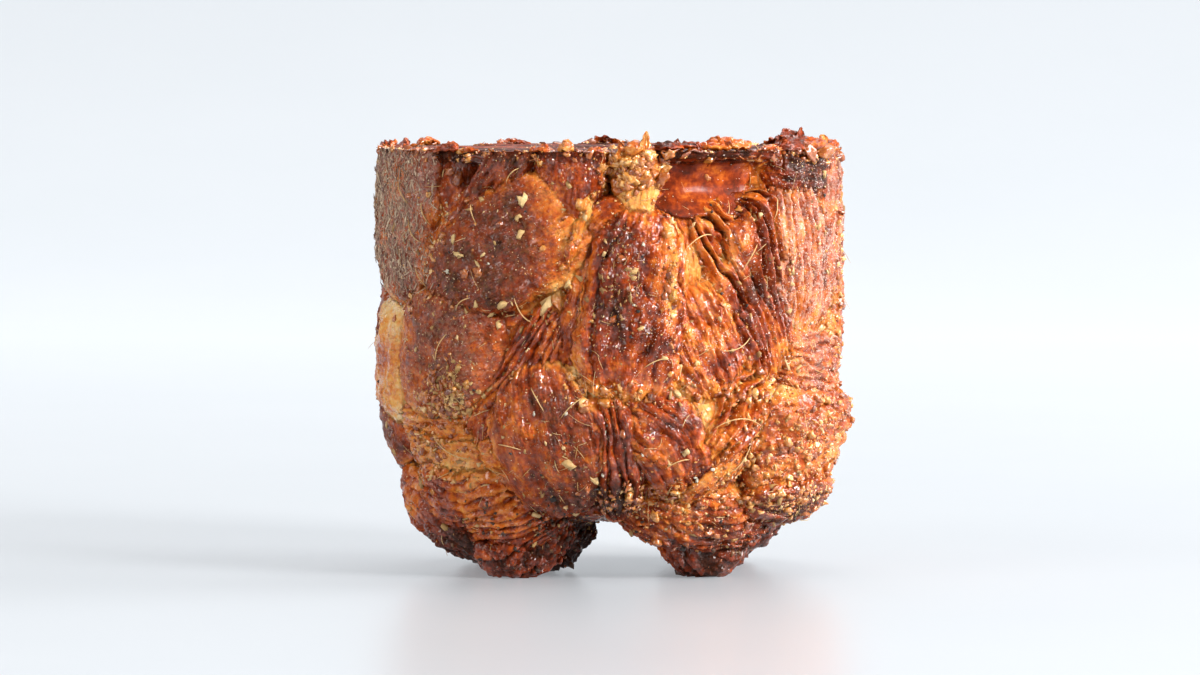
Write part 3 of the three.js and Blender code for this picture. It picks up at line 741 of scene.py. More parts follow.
# The bun's crust: joined folds, roughened by the oven, with its looks worked out at each point
def make_crust():
    mesh = crust_mesh()
    known = read_look(mesh, "known") > 0.99
    looks = {key: fill_in(mesh, known, read_look(mesh, key)) for key in ("bake", "dust", "lumpy", "grain")}

    # Creases filled in part, and the face raised by the oven, but not where the bun was pressed flat
    points = read_points(mesh)
    normals = normals_of(mesh)
    high = points[:, 2]
    flat = (high > HEIGHT - 0.6) | (high < 0.02)
    behind = behind_crests(points)
    seam = smooth(0.4, 2.5, behind) * smooth(70, 67, high) * smooth(14, 20, high) * ~flat
    filled = smooth(-0.35, 0.5, noise(points / 9 + 70)) * (1 - np.minimum(1, drifts(points, HOLLOWS)))
    swollen = 0.3 * np.maximum(behind - 0.4, 0) * seam * filled
    points = points + unit(points * (1, 1, 0)) * swollen[:, None]
    rough = raised(points) * looks["lumpy"] * (1 + 0.5 * smooth(18, 4, high)) * ~flat
    points = points + normals * rough[:, None]
    points[:, 2] = np.clip(points[:, 2], 0, HEIGHT + 0.3)
    write_points(mesh, points)
    mesh.update()
    for key, values in looks.items():
        write_look(mesh, key, values)

    # Browner where syrup burnt, low down, at the rim and on crests, and paler in hollows and creases;
    # darker as painted shade in the left hollow and the caves by the neck, and paler as painted light on
    # the centre fold's right side
    mesh = thinned(mesh, CRUST_TRIANGLES)
    shade_smooth(mesh)
    points = read_points(mesh)
    free = openness(points, normals_of(mesh), triangles_of(mesh))
    high = points[:, 2]
    wall = smooth(12, 22, high)
    bake = read_look(mesh, "bake") + 0.16 * noise(points / 13 + 50) + drifts(points, BROWNING_SHADE_AND_LIGHT)
    bake = bake + 0.14 * smooth(12, 1, high) + 0.1 * smooth(69, 72, high) * (high < HEIGHT - 0.5)
    bake = bake + 0.11 * (smooth(1.8, 0.0, behind_crests(points)) - 0.6) * wall
    bake = bake - 0.05 * smooth(0.75, 0.3, free) * wall
    dull = np.maximum(smooth(HEIGHT - 1.5, HEIGHT - 0.3, high), 1.4 * blob(points, *DULL_SYRUP))
    write_look(mesh, "bake", np.clip(MEAN_BAKE + CONTRAST * (bake - MEAN_BAKE), 0, 1))
    write_look(mesh, "dust", np.clip(read_look(mesh, "dust") * smooth(0.35, 0.8, free), 0, 1))
    write_look(mesh, "open", free)
    write_look(mesh, "dull", np.minimum(1, dull))
    mesh.attributes.remove(mesh.attributes["known"])
    mesh.materials.clear()
    mesh.materials.append(dough_material())
    mesh.polygons.foreach_set("material_index", np.zeros(len(mesh.polygons), np.int32))
    return show("crust", mesh)


# Small help for building the node tree of a material or a world
class Shader:
    def __init__(self, owner, surface="Principled BSDF"):
        owner.use_nodes = True
        self.owner = owner
        self.nodes = owner.node_tree.nodes
        self.links = owner.node_tree.links
        self.surface = self.nodes[surface]

    def put(self, source, socket):
        if isinstance(source, bpy.types.NodeSocket):
            self.links.new(source, socket)
        elif socket.type == "RGBA":
            socket.default_value = (*source, 1)
        else:
            socket.default_value = source

    # The outputs of a new node, given its inputs by name or number, and its settings
    def node(self, kind, inputs=(), **settings):
        made = self.nodes.new("ShaderNode" + kind)
        for key, value in settings.items():
            setattr(made, key, value)
        for key, value in dict(inputs).items():
            self.put(value, made.inputs[key])
        return made.outputs

    def look(self, name, output="Fac"):
        return self.node("Attribute", attribute_name=name)[output]

    def joined(self, operation, values, clamp=False):
        total = values[0]
        for value in values[1:]:
            total = self.node("Math", {0: total, 1: value}, operation=operation, use_clamp=clamp)[0]
        return total

    def add(self, *values, clamp=False):
        return self.joined("ADD", values, clamp)

    def times(self, *values, clamp=False):
        return self.joined("MULTIPLY", values, clamp)

    def span(self, value, low, high, to_low=0.0, to_high=1.0):
        return self.node("MapRange", enumerate((value, low, high, to_low, to_high)), clamp=True)[0]

    def stretched(self, vector, scale):
        return self.node("Mapping", {"Vector": vector, "Scale": scale})[0]

    def place(self, scale):
        return self.stretched(self.node("TexCoord")["Object"], (scale, scale, scale))

    def noise(self, vector, scale, detail=4.0, roughness=0.55):
        inputs = {"Vector": vector, "Scale": scale, "Detail": detail, "Roughness": roughness}
        return self.node("TexNoise", inputs)["Fac"]

    def ramp(self, value, stops):
        made = self.nodes.new("ShaderNodeValToRGB")
        elements = made.color_ramp.elements
        while len(elements) < len(stops):
            elements.new(0.5)
        for element, (at, colour) in zip(elements, stops):
            element.position = at
            element.color = (*colour, 1)
        self.put(value, made.inputs["Fac"])
        return made.outputs["Color"]

    def mix(self, share, a, b):
        return self.node("Mix", {"Factor": share, 6: a, 7: b}, data_type="RGBA")[2]

    def bump(self, height, distance, **more):
        return self.node("Bump", {"Height": height, "Distance": distance, **more})[0]

    def set(self, **values):
        for key, value in values.items():
            self.put(value, self.surface.inputs[key.replace("_", " ")])
        return self.owner


# Baked dough, from pale crumb to char: (how brown, colour)
BAKED = (
    (0.00, (0.84, 0.54, 0.22)), (0.15, (0.8, 0.39, 0.1)), (0.3, (0.74, 0.25, 0.04)),
    (0.45, (0.58, 0.13, 0.013)), (0.6, (0.35, 0.05, 0.005)), (0.74, (0.19, 0.022, 0.003)),
    (0.87, (0.1, 0.016, 0.004)), (1.00, (0.04, 0.01, 0.004)),
)
# The dark red that deep creases take: partly syrup, partly painted shade
SYRUP_AND_SHADE = (0.1, 0.017, 0.004)
THIN_DUST = ((0.36, 0.12, 0.06), (0.34, 0.18, 0.07))
# Thick dust, pale pink: partly ground spice, partly painted sheen
THICK_DUST_AND_SHEEN = (0.53, 0.36, 0.29)


def dough_material():
    s = Shader(bpy.data.materials.new("dough"))
    object_mm = s.place(1000)
    # How brown it is, and darker in deep creases: partly dark syrup, partly painted shade
    grain = s.look("grain", "Vector")
    streaks = s.noise(s.stretched(grain, (0.3, 1.3, 1.0)), 1.0, 5, 0.6)
    blotches = s.noise(object_mm, 0.3, 5, 0.62)
    specks = s.noise(object_mm, 1.3, 3, 0.55)
    bake = s.add(s.look("bake"), s.span(streaks, 0.3, 0.7, -0.07, 0.07),
                 s.span(blotches, 0.32, 0.68, -0.15, 0.15), s.span(specks, 0.32, 0.68, -0.09, 0.09))
    syrup_and_shade = s.mix(s.span(s.look("open"), 0.66, 0.2, 0.0, 0.9), s.ramp(bake, BAKED), SYRUP_AND_SHADE)

    # Ground spice that lies on it as dust; where it lies thick, its pale pink is partly painted sheen
    powder = s.span(s.noise(object_mm, 1.5, 6, 0.75), 0.42, 0.62)
    dust = s.times(s.look("dust"), powder, clamp=True)
    dust_and_sheen = s.mix(s.span(s.noise(object_mm, 0.35, 3), 0.4, 0.6), *THIN_DUST)
    dust_and_sheen = s.mix(s.span(s.look("dust"), 0.5, 1.0), dust_and_sheen, THICK_DUST_AND_SHEEN)

    # Fine relief under a glaze that has its own, smoother one
    patches = s.span(s.noise(object_mm, 0.22, 2, 0.5), 0.36, 0.6, 0.35, 1.15)
    uneven = s.times(s.span(s.look("lumpy"), 0.0, 0.4), patches)
    layers = s.noise(s.stretched(grain, (0.22, 1.4, 1.0)), 1.0, 1, 0.4)
    relief = s.add(layers, s.times(s.noise(object_mm, 1.3, 1, 0.4), 0.7))
    normal = s.bump(s.times(relief, uneven), 0.00055)
    normal = s.bump(s.times(s.noise(object_mm, 3.8, 1, 0.4), uneven), 0.0001, Normal=normal)
    wet = s.add(s.times(s.noise(object_mm, 0.8, 0, 0.4), 0.7), layers,
                s.times(s.noise(object_mm, 1.7, 0, 0.4), 0.4))
    wet = s.bump(s.times(wet, uneven), 0.0006)
    gloss = s.span(s.noise(object_mm, 0.5, 3, 0.6), 0.38, 0.58)
    coat = s.times(s.span(gloss, 0, 1, 0.1, 1.0), s.span(dust, 0.0, 0.5, 1.0, 0.15),
                   s.span(s.look("dull"), 0, 1, 1.0, 0.1), s.span(bake, 0.75, 1.0, 1.0, 0.4))
    s.set(Base_Color=s.mix(s.times(dust, 0.75), syrup_and_shade, dust_and_sheen), Normal=normal, Specular_IOR_Level=0.06)
    s.set(Roughness=s.add(s.span(gloss, 0, 1, 0.5, 0.32), s.times(dust, 0.4), clamp=True))
    s.set(Coat_Weight=coat, Coat_Roughness=0.08, Coat_Normal=wet, Coat_IOR=1.6)
    return s.set(Subsurface_Weight=0.12, Subsurface_Scale=0.0006, Subsurface_Radius=(1.0, 0.3, 0.1))


# Sugar, husk, seed or crumb: one look, with its own tone for each grain
def grain_material(name, tones, roughness, coat=0.0):
    s = Shader(bpy.data.materials.new(name))
    object_mm = s.place(1000)
    tone = s.add(s.look("tone"), s.span(s.noise(object_mm, 1.8, 4), 0.3, 0.7, -0.18, 0.18))
    normal = s.bump(s.noise(object_mm, 3.5, 3), 0.0002 - 0.00015 * coat, Strength=0.8)
    s.set(Base_Color=s.ramp(tone, tones), Normal=normal)
    return s.set(Roughness=roughness, Coat_Weight=coat, Coat_Roughness=0.1)


# Points and faces of a round lump of unit width, dented at random
def lump_shape(rng, detail, dent):
    ball = bmesh.new()
    bmesh.ops.create_icosphere(ball, subdivisions=detail, radius=0.5)
    points = np.array([v.co for v in ball.verts])
    faces = np.array([[v.index for v in face.verts] for face in ball.faces])
    ball.free()
    squash = rng.uniform(0.7, 1.1, 3)
    shift = rng.uniform(0, 90, 3)
    rough = 2.4 * noise(points * 2.8 + shift) + 1.2 * noise(points * 6 + shift)
    rough = rough + 0.4 * rng.normal(size=len(points))
    return points * (1 + dent * rough[:, None]) * squash, faces


# A sharp crystal of about unit width: an uneven octahedron
def crystal_shape(rng):
    points = np.concatenate([np.eye(3), -np.eye(3)]) * rng.uniform(0.3, 0.6, (6, 1))
    points = points + 0.1 * rng.normal(size=(6, 3))
    faces = [(0, 1, 2), (1, 3, 2), (3, 4, 2), (4, 0, 2), (1, 0, 5), (3, 1, 5), (4, 3, 5), (0, 4, 5)]
    return points, np.array(faces)


# A flat chip of unit length with an uneven outline
def chip_shape(rng, thin, count=6, least=0.65):
    turn = np.sort(rng.uniform(0, 2 * math.pi / count, count) + np.arange(count) * 2 * math.pi / count)
    out = 0.5 * rng.uniform(least, 1.0, count)
    wide = rng.uniform(0.45, 0.8)
    bend = rng.uniform(-0.25, 0.25)
    along_it = out * np.cos(turn)
    rim = stack(along_it, out * np.sin(turn) * wide, bend * along_it**2)
    points = np.concatenate([rim + (0, 0, thin), rim * (1.1, 1.1, 1.0) - (0, 0, thin)])
    j, ahead, fan = ring_of(count)
    sides = [stack(j, j + count, ahead + count), stack(j, ahead + count, ahead)]
    return points, np.concatenate([fan, fan[:, ::-1] + count, *sides])


# A curved husk fibre of unit length along x
def fibre_shape(rng, thick, steps=7, sides=4):
    x = np.linspace(-0.5, 0.5, steps + 1)
    bow, lift, twist = rng.uniform(-0.5, 0.5), rng.uniform(0.0, 0.35), rng.uniform(-0.3, 0.3)
    line = stack(x, bow * (0.25 - x**2) + twist * x**3, lift * (0.25 - x**2))
    return tube(line, thick * np.sqrt(np.maximum(1 - (2 * x) ** 4, 0.08)), sides, (0, 0, 1))


# A closed tube round a line of points, with its own half width at each; up is no direction of the line
def tube(line, size, sides, up):
    run = unit(np.gradient(line, axis=0))
    side = unit(np.cross(up, run))
    over = np.cross(run, side)
    turn = np.arange(sides)[:, None] * 2 * math.pi / sides
    ring = side[:, None] * np.cos(turn) + over[:, None] * np.sin(turn)
    points = (line[:, None] + ring * size[:, None, None]).reshape(-1, 3)
    steps = len(line) - 1
    j, ahead, fan = ring_of(sides)
    low = (np.arange(steps) * sides)[:, None]
    quads = stack(low + j, low + sides + j, low + sides + ahead, low + ahead).reshape(-1, 4)
    sheet = np.concatenate([quads[:, [0, 1, 2]], quads[:, [0, 2, 3]]])
    return points, np.concatenate([sheet, fan, fan[:, ::-1] + steps * sides])


# The way out from the axis at an angle
def outward(angle):
    return Vector((math.sin(math.radians(angle)), -math.cos(math.radians(angle)), 0))


# The crust as a field to strew on: its triangles, and how likely each is to be met
class Field:
    def __init__(self, crust):
        mesh = crust.data
        self.points = read_points(mesh)
        self.corners = triangles_of(mesh)
        a, b, c = (self.points[self.corners[:, k]] for k in range(3))
        across = np.cross(b - a, c - a)
        self.area = np.linalg.norm(across, axis=1) / 2
        self.facing = unit(across)
        self.middle = (a + b + c) / 3
        self.free = read_look(mesh, "open")[self.corners].mean(axis=1)
        self.dust = read_look(mesh, "dust")[self.corners].mean(axis=1)
        self.tree = BVHTree.FromPolygons(self.points.tolist(), self.corners.tolist())

    # The crust's point and facing that a line meets on its way to the axis at a height
    def at(self, angle, height):
        start = outward(angle) * 2 * TIN_RADIUS + Vector((0, 0, height))
        return self.tree.ray_cast(start, -outward(angle))[:2]

    # The same on its way down, at a distance from the axis
    def below(self, angle, radius):
        start = outward(angle) * radius + Vector((0, 0, 2 * HEIGHT))
        return self.tree.ray_cast(start, Vector((0, 0, -1)))[:2]

    def pick(self, rng, count, chance):
        weight = self.area * np.maximum(chance, 0)
        chosen = rng.choice(len(weight), count, p=weight / weight.sum())
        share = rng.dirichlet((1, 1, 1), count)
        spots = (self.points[self.corners[chosen]] * share[..., None]).sum(axis=1)
        return spots, self.facing[chosen]


# Many grains as one mesh: shapes turned, sized and set on spots of the crust. They can be flattened, lean
# at random, are sunk by a share of their size, can run along a direction, and are dark (0) to pale (1).
def strewn(name, rng, spots, facing, shapes, sizes, material,
           flat=0.0, lean=0.35, sunk=0.1, tones=(0, 1), run=None):
    count = len(spots)
    up = unit(facing + lean * rng.normal(size=(count, 3)))
    heading = rng.normal(size=(count, 3))
    if run is not None:
        heading = np.cross(run, up) + 0.35 * heading
    aside = unit(np.cross(up, heading))
    other = np.cross(up, aside)
    stretch = stack(rng.uniform(0.8, 1.3, count), rng.uniform(0.7, 1.1, count),
                    rng.uniform(0.6, 1.0, count) * (1 - flat))
    frames = np.stack([aside, other, up], axis=1) * (stretch * sizes[:, None])[..., None]
    bases = spots - facing * (sunk * sizes * stretch[:, 2])[:, None]
    kind = rng.integers(0, len(shapes), count)
    tone = rng.uniform(*tones, count)
    bodies = []
    for k, (shape, corners) in enumerate(shapes):
        mine = np.flatnonzero(kind == k)
        points = np.einsum("pa,nab->npb", shape, frames[mine]) + bases[mine, None]
        points[..., 2] = np.maximum(points[..., 2], 0)
        shift = np.arange(len(mine)) * len(shape)
        faces = (corners[None] + shift[:, None, None]).reshape(-1, 3)
        bodies.append((points.reshape(-1, 3), [faces], {"tone": np.repeat(tone[mine], len(shape))}))
    dress(name, joined_mesh(name, bodies), material)


# Where the largest crumbs lie, as on the solid: name, angles, heights or else distances from the axis,
# count, widths
CRUMB_ZONES = (
    ("all round", (0, 360), (15, 70), None, 34, (1.2, 2.0)),
    ("above the neck", (-3, 14), (65, 71), None, 5, (1.8, 2.6)),
    ("upper left fold", (-42, -14), (50, 66), None, 4, (1.4, 2.0)),
    ("left hollow", (-45, -41), (65, 69), None, 1, (3.0, 3.0)),
    ("left fold's foot", (-50, -36), (27, 35), None, 4, (1.5, 2.2)),
    ("centre fold", (-1, 5), (42, 57), None, 3, (1.4, 2.0)),
    ("hem of the centre", (-14, 12), (29, 36), None, 4, (1.4, 2.2)),
    ("crumbed fold", (42, 76), (14, 30), None, 6, (1.5, 2.4)),
    ("rim's right corner", (50, 72), None, (35.5, 39.5), 6, (3.0, 4.2)),
    ("rim's left corner", (-66, -44), None, (36, 38.5), 3, (1.4, 2.0)),
    ("rim's middle", (-16, 32), None, (35, 38.5), 5, (1.4, 2.2)),
)


def large_crumbs(field, rng, material):
    draw = random_from(SEED + 1)
    met, sizes = [], []
    for _, angles, heights, radii, count, wide in CRUMB_ZONES:
        low, high = heights or radii
        meet = field.at if heights else field.below
        for k in range(count):
            angle = angles[0] + (angles[1] - angles[0]) * ((k * GOLDEN + 0.3) % 1)
            met.append(meet(angle, low + (high - low) * (k + 0.5) / count))
            sizes.append(wide[0] + (wide[1] - wide[0]) * next(draw))
            for _ in range(2):
                next(draw)  # the solid turns its crumb by these
    shapes = [lump_shape(rng, 3, 0.17) for _ in range(12)]
    spots, facing = np.array(met).transpose(1, 0, 2)
    strewn("large_crumbs", rng, spots, facing, shapes, np.array(sizes), material,
           flat=0.15, lean=0.5, tones=(0.1, 0.75))


# Husk chips that stand out one by one: angle, height, length
CHIPS = (
    (-21.2, 63.9, 2.4), (-22.5, 61.4, 1.8), (-21.7, 58.6, 2), (-39.3, 54.8, 2), (-40.8, 57.3, 1.6),
    (-10.2, 50.4, 2.4), (-16.7, 46.3, 3.8), (-16, 44.8, 2.4), (-31.5, 55, 1.4), (-33.6, 53.3, 1.3),
    (-26.5, 46.8, 2.2), (-31, 45, 1.9), (-29.5, 43.2, 2.1), (-34.5, 46.5, 1.7), (-9.2, 35.2, 1.8),
    (-10.5, 20.5, 2.8), (-4.2, 17.5, 1.7), (12.5, 38, 1.5), (7, 43, 1.3), (-46, 61.5, 1.4),
)
# Long fibres that stand out: angle and height of both ends, how far the middle bows up, in millimetres
LONG_FIBRES = (
    (18, 55.8, 28, 57.6, 1.4), (26.4, 26, 39.8, 26.2, 1.5), (32.3, 18.4, 38.5, 24, -0.8),
    (-50.6, 24.2, -38.7, 20.6, -0.9), (-28.7, 23.4, -22.5, 22.6, 0.2), (-54, 63.2, -51.8, 59.4, 0),
    (-59.2, 60.4, -54.3, 56.5, -0.5), (-36, 63.2, -34.2, 60, 0.4), (-55.7, 52.4, -52.9, 49, 0.3),
    (-23.5, 47.8, -20, 43.8, -0.6), (-40.5, 45.5, -35.8, 47.6, 0.4), (28, 39, 36.5, 41, -0.7),
    (34, 52, 38, 56.5, 0.5), (8, 36.5, 14.5, 37.8, 0.6), (-12, 28, -6.5, 31.5, 0.4),
    (-46.5, 37, -43, 41.5, 0.2), (44, 60, 47, 64.5, 0.5), (-19.5, 33, -16, 29.2, 0.3),
    (-26, 66.8, -22.5, 69.2, 0.4), (14, 19.5, 20, 21, 0.5), (-62, 66.5, -58.5, 62.8, 0.3),
)
# Scraps of dough and syrup left on the rim: angle, half their spread in degrees, height of their tops,
# distance from the axis, width, thickness, how brown
SCRAPS = (
    (-70, 4, 73.1, 37.4, 3, 1.1, 0.66), (-59, 3, 72.7, 37.8, 2.2, 0.9, 0.6),
    (-49, 5.5, 73, 37, 2.8, 1, 0.64), (-38, 3, 72.8, 37.6, 2, 0.9, 0.56),
    (-18, 3, 73.2, 37.6, 2.6, 1.5, 0.52), (-11, 2.4, 73.5, 37.8, 2.4, 1.8, 0.46),
    (-4, 2.6, 72.9, 37.4, 2.2, 1.3, 0.56), (6, 2.4, 73.5, 38.6, 3, 2.4, 0.42),
    (15, 4, 73.3, 37, 3.4, 1.2, 0.82), (20, 3.6, 73.8, 36.4, 3, 1.4, 0.86),
    (31, 7.5, 73.8, 37.6, 2.2, 1.9, 0.54), (45, 2.6, 73, 37.6, 2.2, 1.3, 0.5),
    (53, 4.4, 73.4, 37.4, 4.4, 1.2, 0.76), (58, 5.4, 74.6, 37, 5, 1, 0.82),
    (62, 4.2, 73.8, 38, 4.6, 1.6, 0.56), (68, 3.6, 73, 38.6, 3.6, 1.4, 0.48),
    (75, 3, 72.8, 38.6, 3, 1.3, 0.56), (97, 4, 73, 37.6, 3, 1.2, 0.6),
    (128, 5, 73.2, 37.2, 2.6, 1.4, 0.7), (150, 3, 72.9, 37.8, 2.4, 1.1, 0.54),
    (181, 4, 73.3, 37.4, 3.2, 1.5, 0.66), (207, 5, 73, 37, 2.6, 1.2, 0.76),
    (236, 3.4, 73.2, 37.8, 3, 1.5, 0.52), (268, 4, 73, 37.6, 2.8, 1.2, 0.62),
)
# Flakes that stand up on the rim: angle and height of foot and of tip, distance from the axis, width,
# how brown
SPIKES = (
    (8, 70.5, 9.2, 75.4, 38.6, 3, 0.34), (57.5, 71.5, 61, 75.8, 37.2, 3.6, 0.8),
    (66, 71, 69.5, 74.2, 38.6, 2.6, 0.52), (53, 72, 51, 74.6, 37, 2.4, 0.72),
    (-10.5, 71.5, -11.5, 74, 38, 2.2, 0.46), (16, 71.8, 18.5, 74.2, 36.8, 2.2, 0.7),
    (3.5, 70.5, 2.5, 73.8, 38.8, 2.6, 0.46), (24, 71.8, 22.5, 73.6, 37, 2, 0.66),
)


def placed_chips(field, rng, material):
    spots, facing = np.array([field.at(angle, height) for angle, height, _ in CHIPS]).transpose(1, 0, 2)
    sizes = 1.25 * np.array([size for _, _, size in CHIPS])
    shapes = [chip_shape(rng, 0.13, 12, 0.35) for _ in CHIPS]
    strewn("placed_chips", rng, spots, facing, shapes, sizes, material, sunk=0.0, tones=(0.2, 1.0))


def placed_fibres(field, material):
    t = np.linspace(0, 1, 15)
    arch = 4 * t * (1 - t)
    thick = 0.095 * np.sqrt(np.maximum(1 - (2 * t - 1) ** 4, 0.12))
    bodies = []
    for from_angle, from_height, to_angle, to_height, bow in LONG_FIBRES:
        angle = from_angle + (to_angle - from_angle) * t
        height = from_height + (to_height - from_height) * t + bow * arch
        reach = np.array([math.hypot(*field.at(x, z)[0][:2]) for x, z in zip(angle, height)])
        reach = np.maximum(reach, reach[0] + (reach[-1] - reach[0]) * t + 0.7 * arch)
        for _ in range(3):
            reach[1:-1] = (reach[:-2] + 2 * reach[1:-1] + reach[2:]) / 4
        turn = np.radians(angle)
        points, faces = tube(spot(turn, reach + 0.1, height), thick, 6, spot(turn, 1, 0))
        bodies.append((points, [faces], {"tone": np.full(len(points), 0.5)}))
    dress("placed_fibres", joined_mesh("placed_fibres", bodies), material)


def rim_scraps(material):
    usual = {"dive": (0.1, 0.1), "layers": 3, "groove": 0.4, "lumpy": 1.3, "coarse": 0.6}
    scraps = []
    for number, (angle, spread, top, radius, wide, thick, brown) in enumerate(SCRAPS):
        face = -60 - 25 * ((number * GOLDEN) % 1)
        stops = [(angle - spread, top - 0.6, radius - 0.5, face), (angle, top - 0.1, radius + 0.4, face),
                 (angle + spread, top - 0.4, radius, face)]
        scraps.append(fold("scrap", stops, (wide * 0.7, wide, wide * 0.6), deep=0.75 * thick, square=5,
                           blunt=5, brown=brown, **usual))
    for angle, foot, tip_angle, tip, radius, wide, brown in SPIKES:
        stops = [(angle, foot, radius, -10), ((angle + tip_angle) / 2, (foot + tip) / 2, radius + 0.3, -5),
                 (tip_angle, tip, radius, 10)]
        scraps.append(fold("spike", stops, (wide, 0.7 * wide, 0.1 * wide), deep=0.9, square=4, blunt=6,
                           brown=brown, **usual))
    bodies = []
    for number, scrap in enumerate(scraps):
        points, faces, looks = fold_mesh(500 + number, scrap)
        points = points + 0.4 * stack(*(noise(points / 0.9 + 30 * k) for k in range(3)))
        bodies.append((points, faces, {**looks, "open": np.full(len(points), 0.8)}))
    mesh = joined_mesh("rim_scraps", bodies)
    shade_smooth(mesh)
    dress("rim_scraps", mesh, material)


# Drifts of crumbs that the photograph shows: angle, height, spread around and up, amount
GOLD_DRIFTS = (
    (6, 68.5, 5, 3.2, 6), (56, 22, 11, 8, 3.5), (80, 45, 5, 22, 2), (60, 14, 14, 2.4, 4),
    (14, 14, 12, 2.4, 5), (2, 32, 9, 2, 2.5), (-44, 31, 5, 3.5, 9), (-54, 22, 8, 5, 3),
    (40, 32, 12, 2.4, 2), (62, 71, 10, 1.6, 3), (-30, 71.5, 20, 1.2, 2), (36, 8, 12, 3, 1.5),
    (-48, 57, 2.4, 7, 3), (33, 19, 5, 2.5, 3), (14.5, 50, 1.2, 9, 3), (-10, 55, 1.5, 8, 2),
    (-55, 46.5, 8, 1.8, 3), (110, 33, 9, 5, 3), (150, 52, 8, 5, 3), (185, 32, 10, 4, 3),
    (215, 52, 8, 6, 2.5), (245, 33, 8, 4, 3), (170, 18, 10, 4, 3), (235, 18, 9, 4, 3),
    (126, 66, 8, 4, 2),
)
# Where sugar crystals glint
SPARKLING = (
    (64, 52, 13, 17, 3), (38, 56, 6, 7, 1), (24, 40, 10, 6, 1), (66, 30, 10, 8, 1),
    (12, 48, 4, 10, 1.5),
)
# Where the ground cardamom lies thick
GREEN_DRIFTS = (
    (2, 49, 3.2, 9, 12), (-12, 21, 5, 4, 8), (36, 52, 3.5, 3, 5), (-44, 31, 5, 4, 5),
    (-29, 45.5, 9, 2, 4), (15, 14, 8, 3, 3), (62, 12, 12, 3, 7), (-38, 19, 8, 2, 2), (18, 32, 4, 3, 5),
    (-8, 30, 6, 3, 2), (135, 44, 6, 4, 6), (205, 60, 6, 4, 6), (235, 22, 6, 4, 5), (165, 26, 8, 3, 4),
    (100, 56, 5, 5, 4),
)


def drifts(points, rows):
    return sum(amount * blob(points, angle, height, around, tall)
               for angle, height, around, tall, amount in rows)


# The looks of the grains: the tones from dark to pale and where each lies, the roughness, and the glaze
GRAIN_LOOKS = {
    "sugar": (((0, (0.62, 0.33, 0.1)), (1, (0.86, 0.68, 0.42))), 0.18, 0.4),
    "husk": (((0, (0.26, 0.12, 0.035)), (0.6, (0.52, 0.3, 0.1)), (1, (0.74, 0.5, 0.24))), 0.5),
    "husk_pale": (((0, (0.48, 0.26, 0.08)), (1, (0.85, 0.59, 0.26))), 0.4),
    "speck": (((0, (0.36, 0.15, 0.09)), (0.6, (0.62, 0.36, 0.22)), (1, (0.82, 0.64, 0.46))), 0.5),
    "fuzz": (((0, (0.2, 0.11, 0.09)), (0.5, (0.5, 0.33, 0.23)), (1, (0.84, 0.66, 0.46))), 0.6),
    "glint": (((0, (0.72, 0.42, 0.3)), (1, (0.9, 0.78, 0.7))), 0.15, 1.0),
    "straw": (((0, (0.56, 0.3, 0.09)), (1, (0.78, 0.53, 0.24))), 0.4),
    "seed": (((0, (0.01, 0.009, 0.009)), (1, (0.045, 0.032, 0.025))), 0.3),
    "pale": (((0, (0.55, 0.49, 0.36)), (1, (0.8, 0.74, 0.6))), 0.35),
    "crumb": (((0, (0.14, 0.022, 0.005)), (0.5, (0.42, 0.1, 0.012)), (0.85, (0.68, 0.28, 0.05)),
               (1, (0.84, 0.52, 0.2))), 0.25, 1.0),
    "char": (((0, (0.012, 0.008, 0.006)), (0.7, (0.06, 0.025, 0.012)), (1, (0.22, 0.09, 0.03))), 0.4),
}


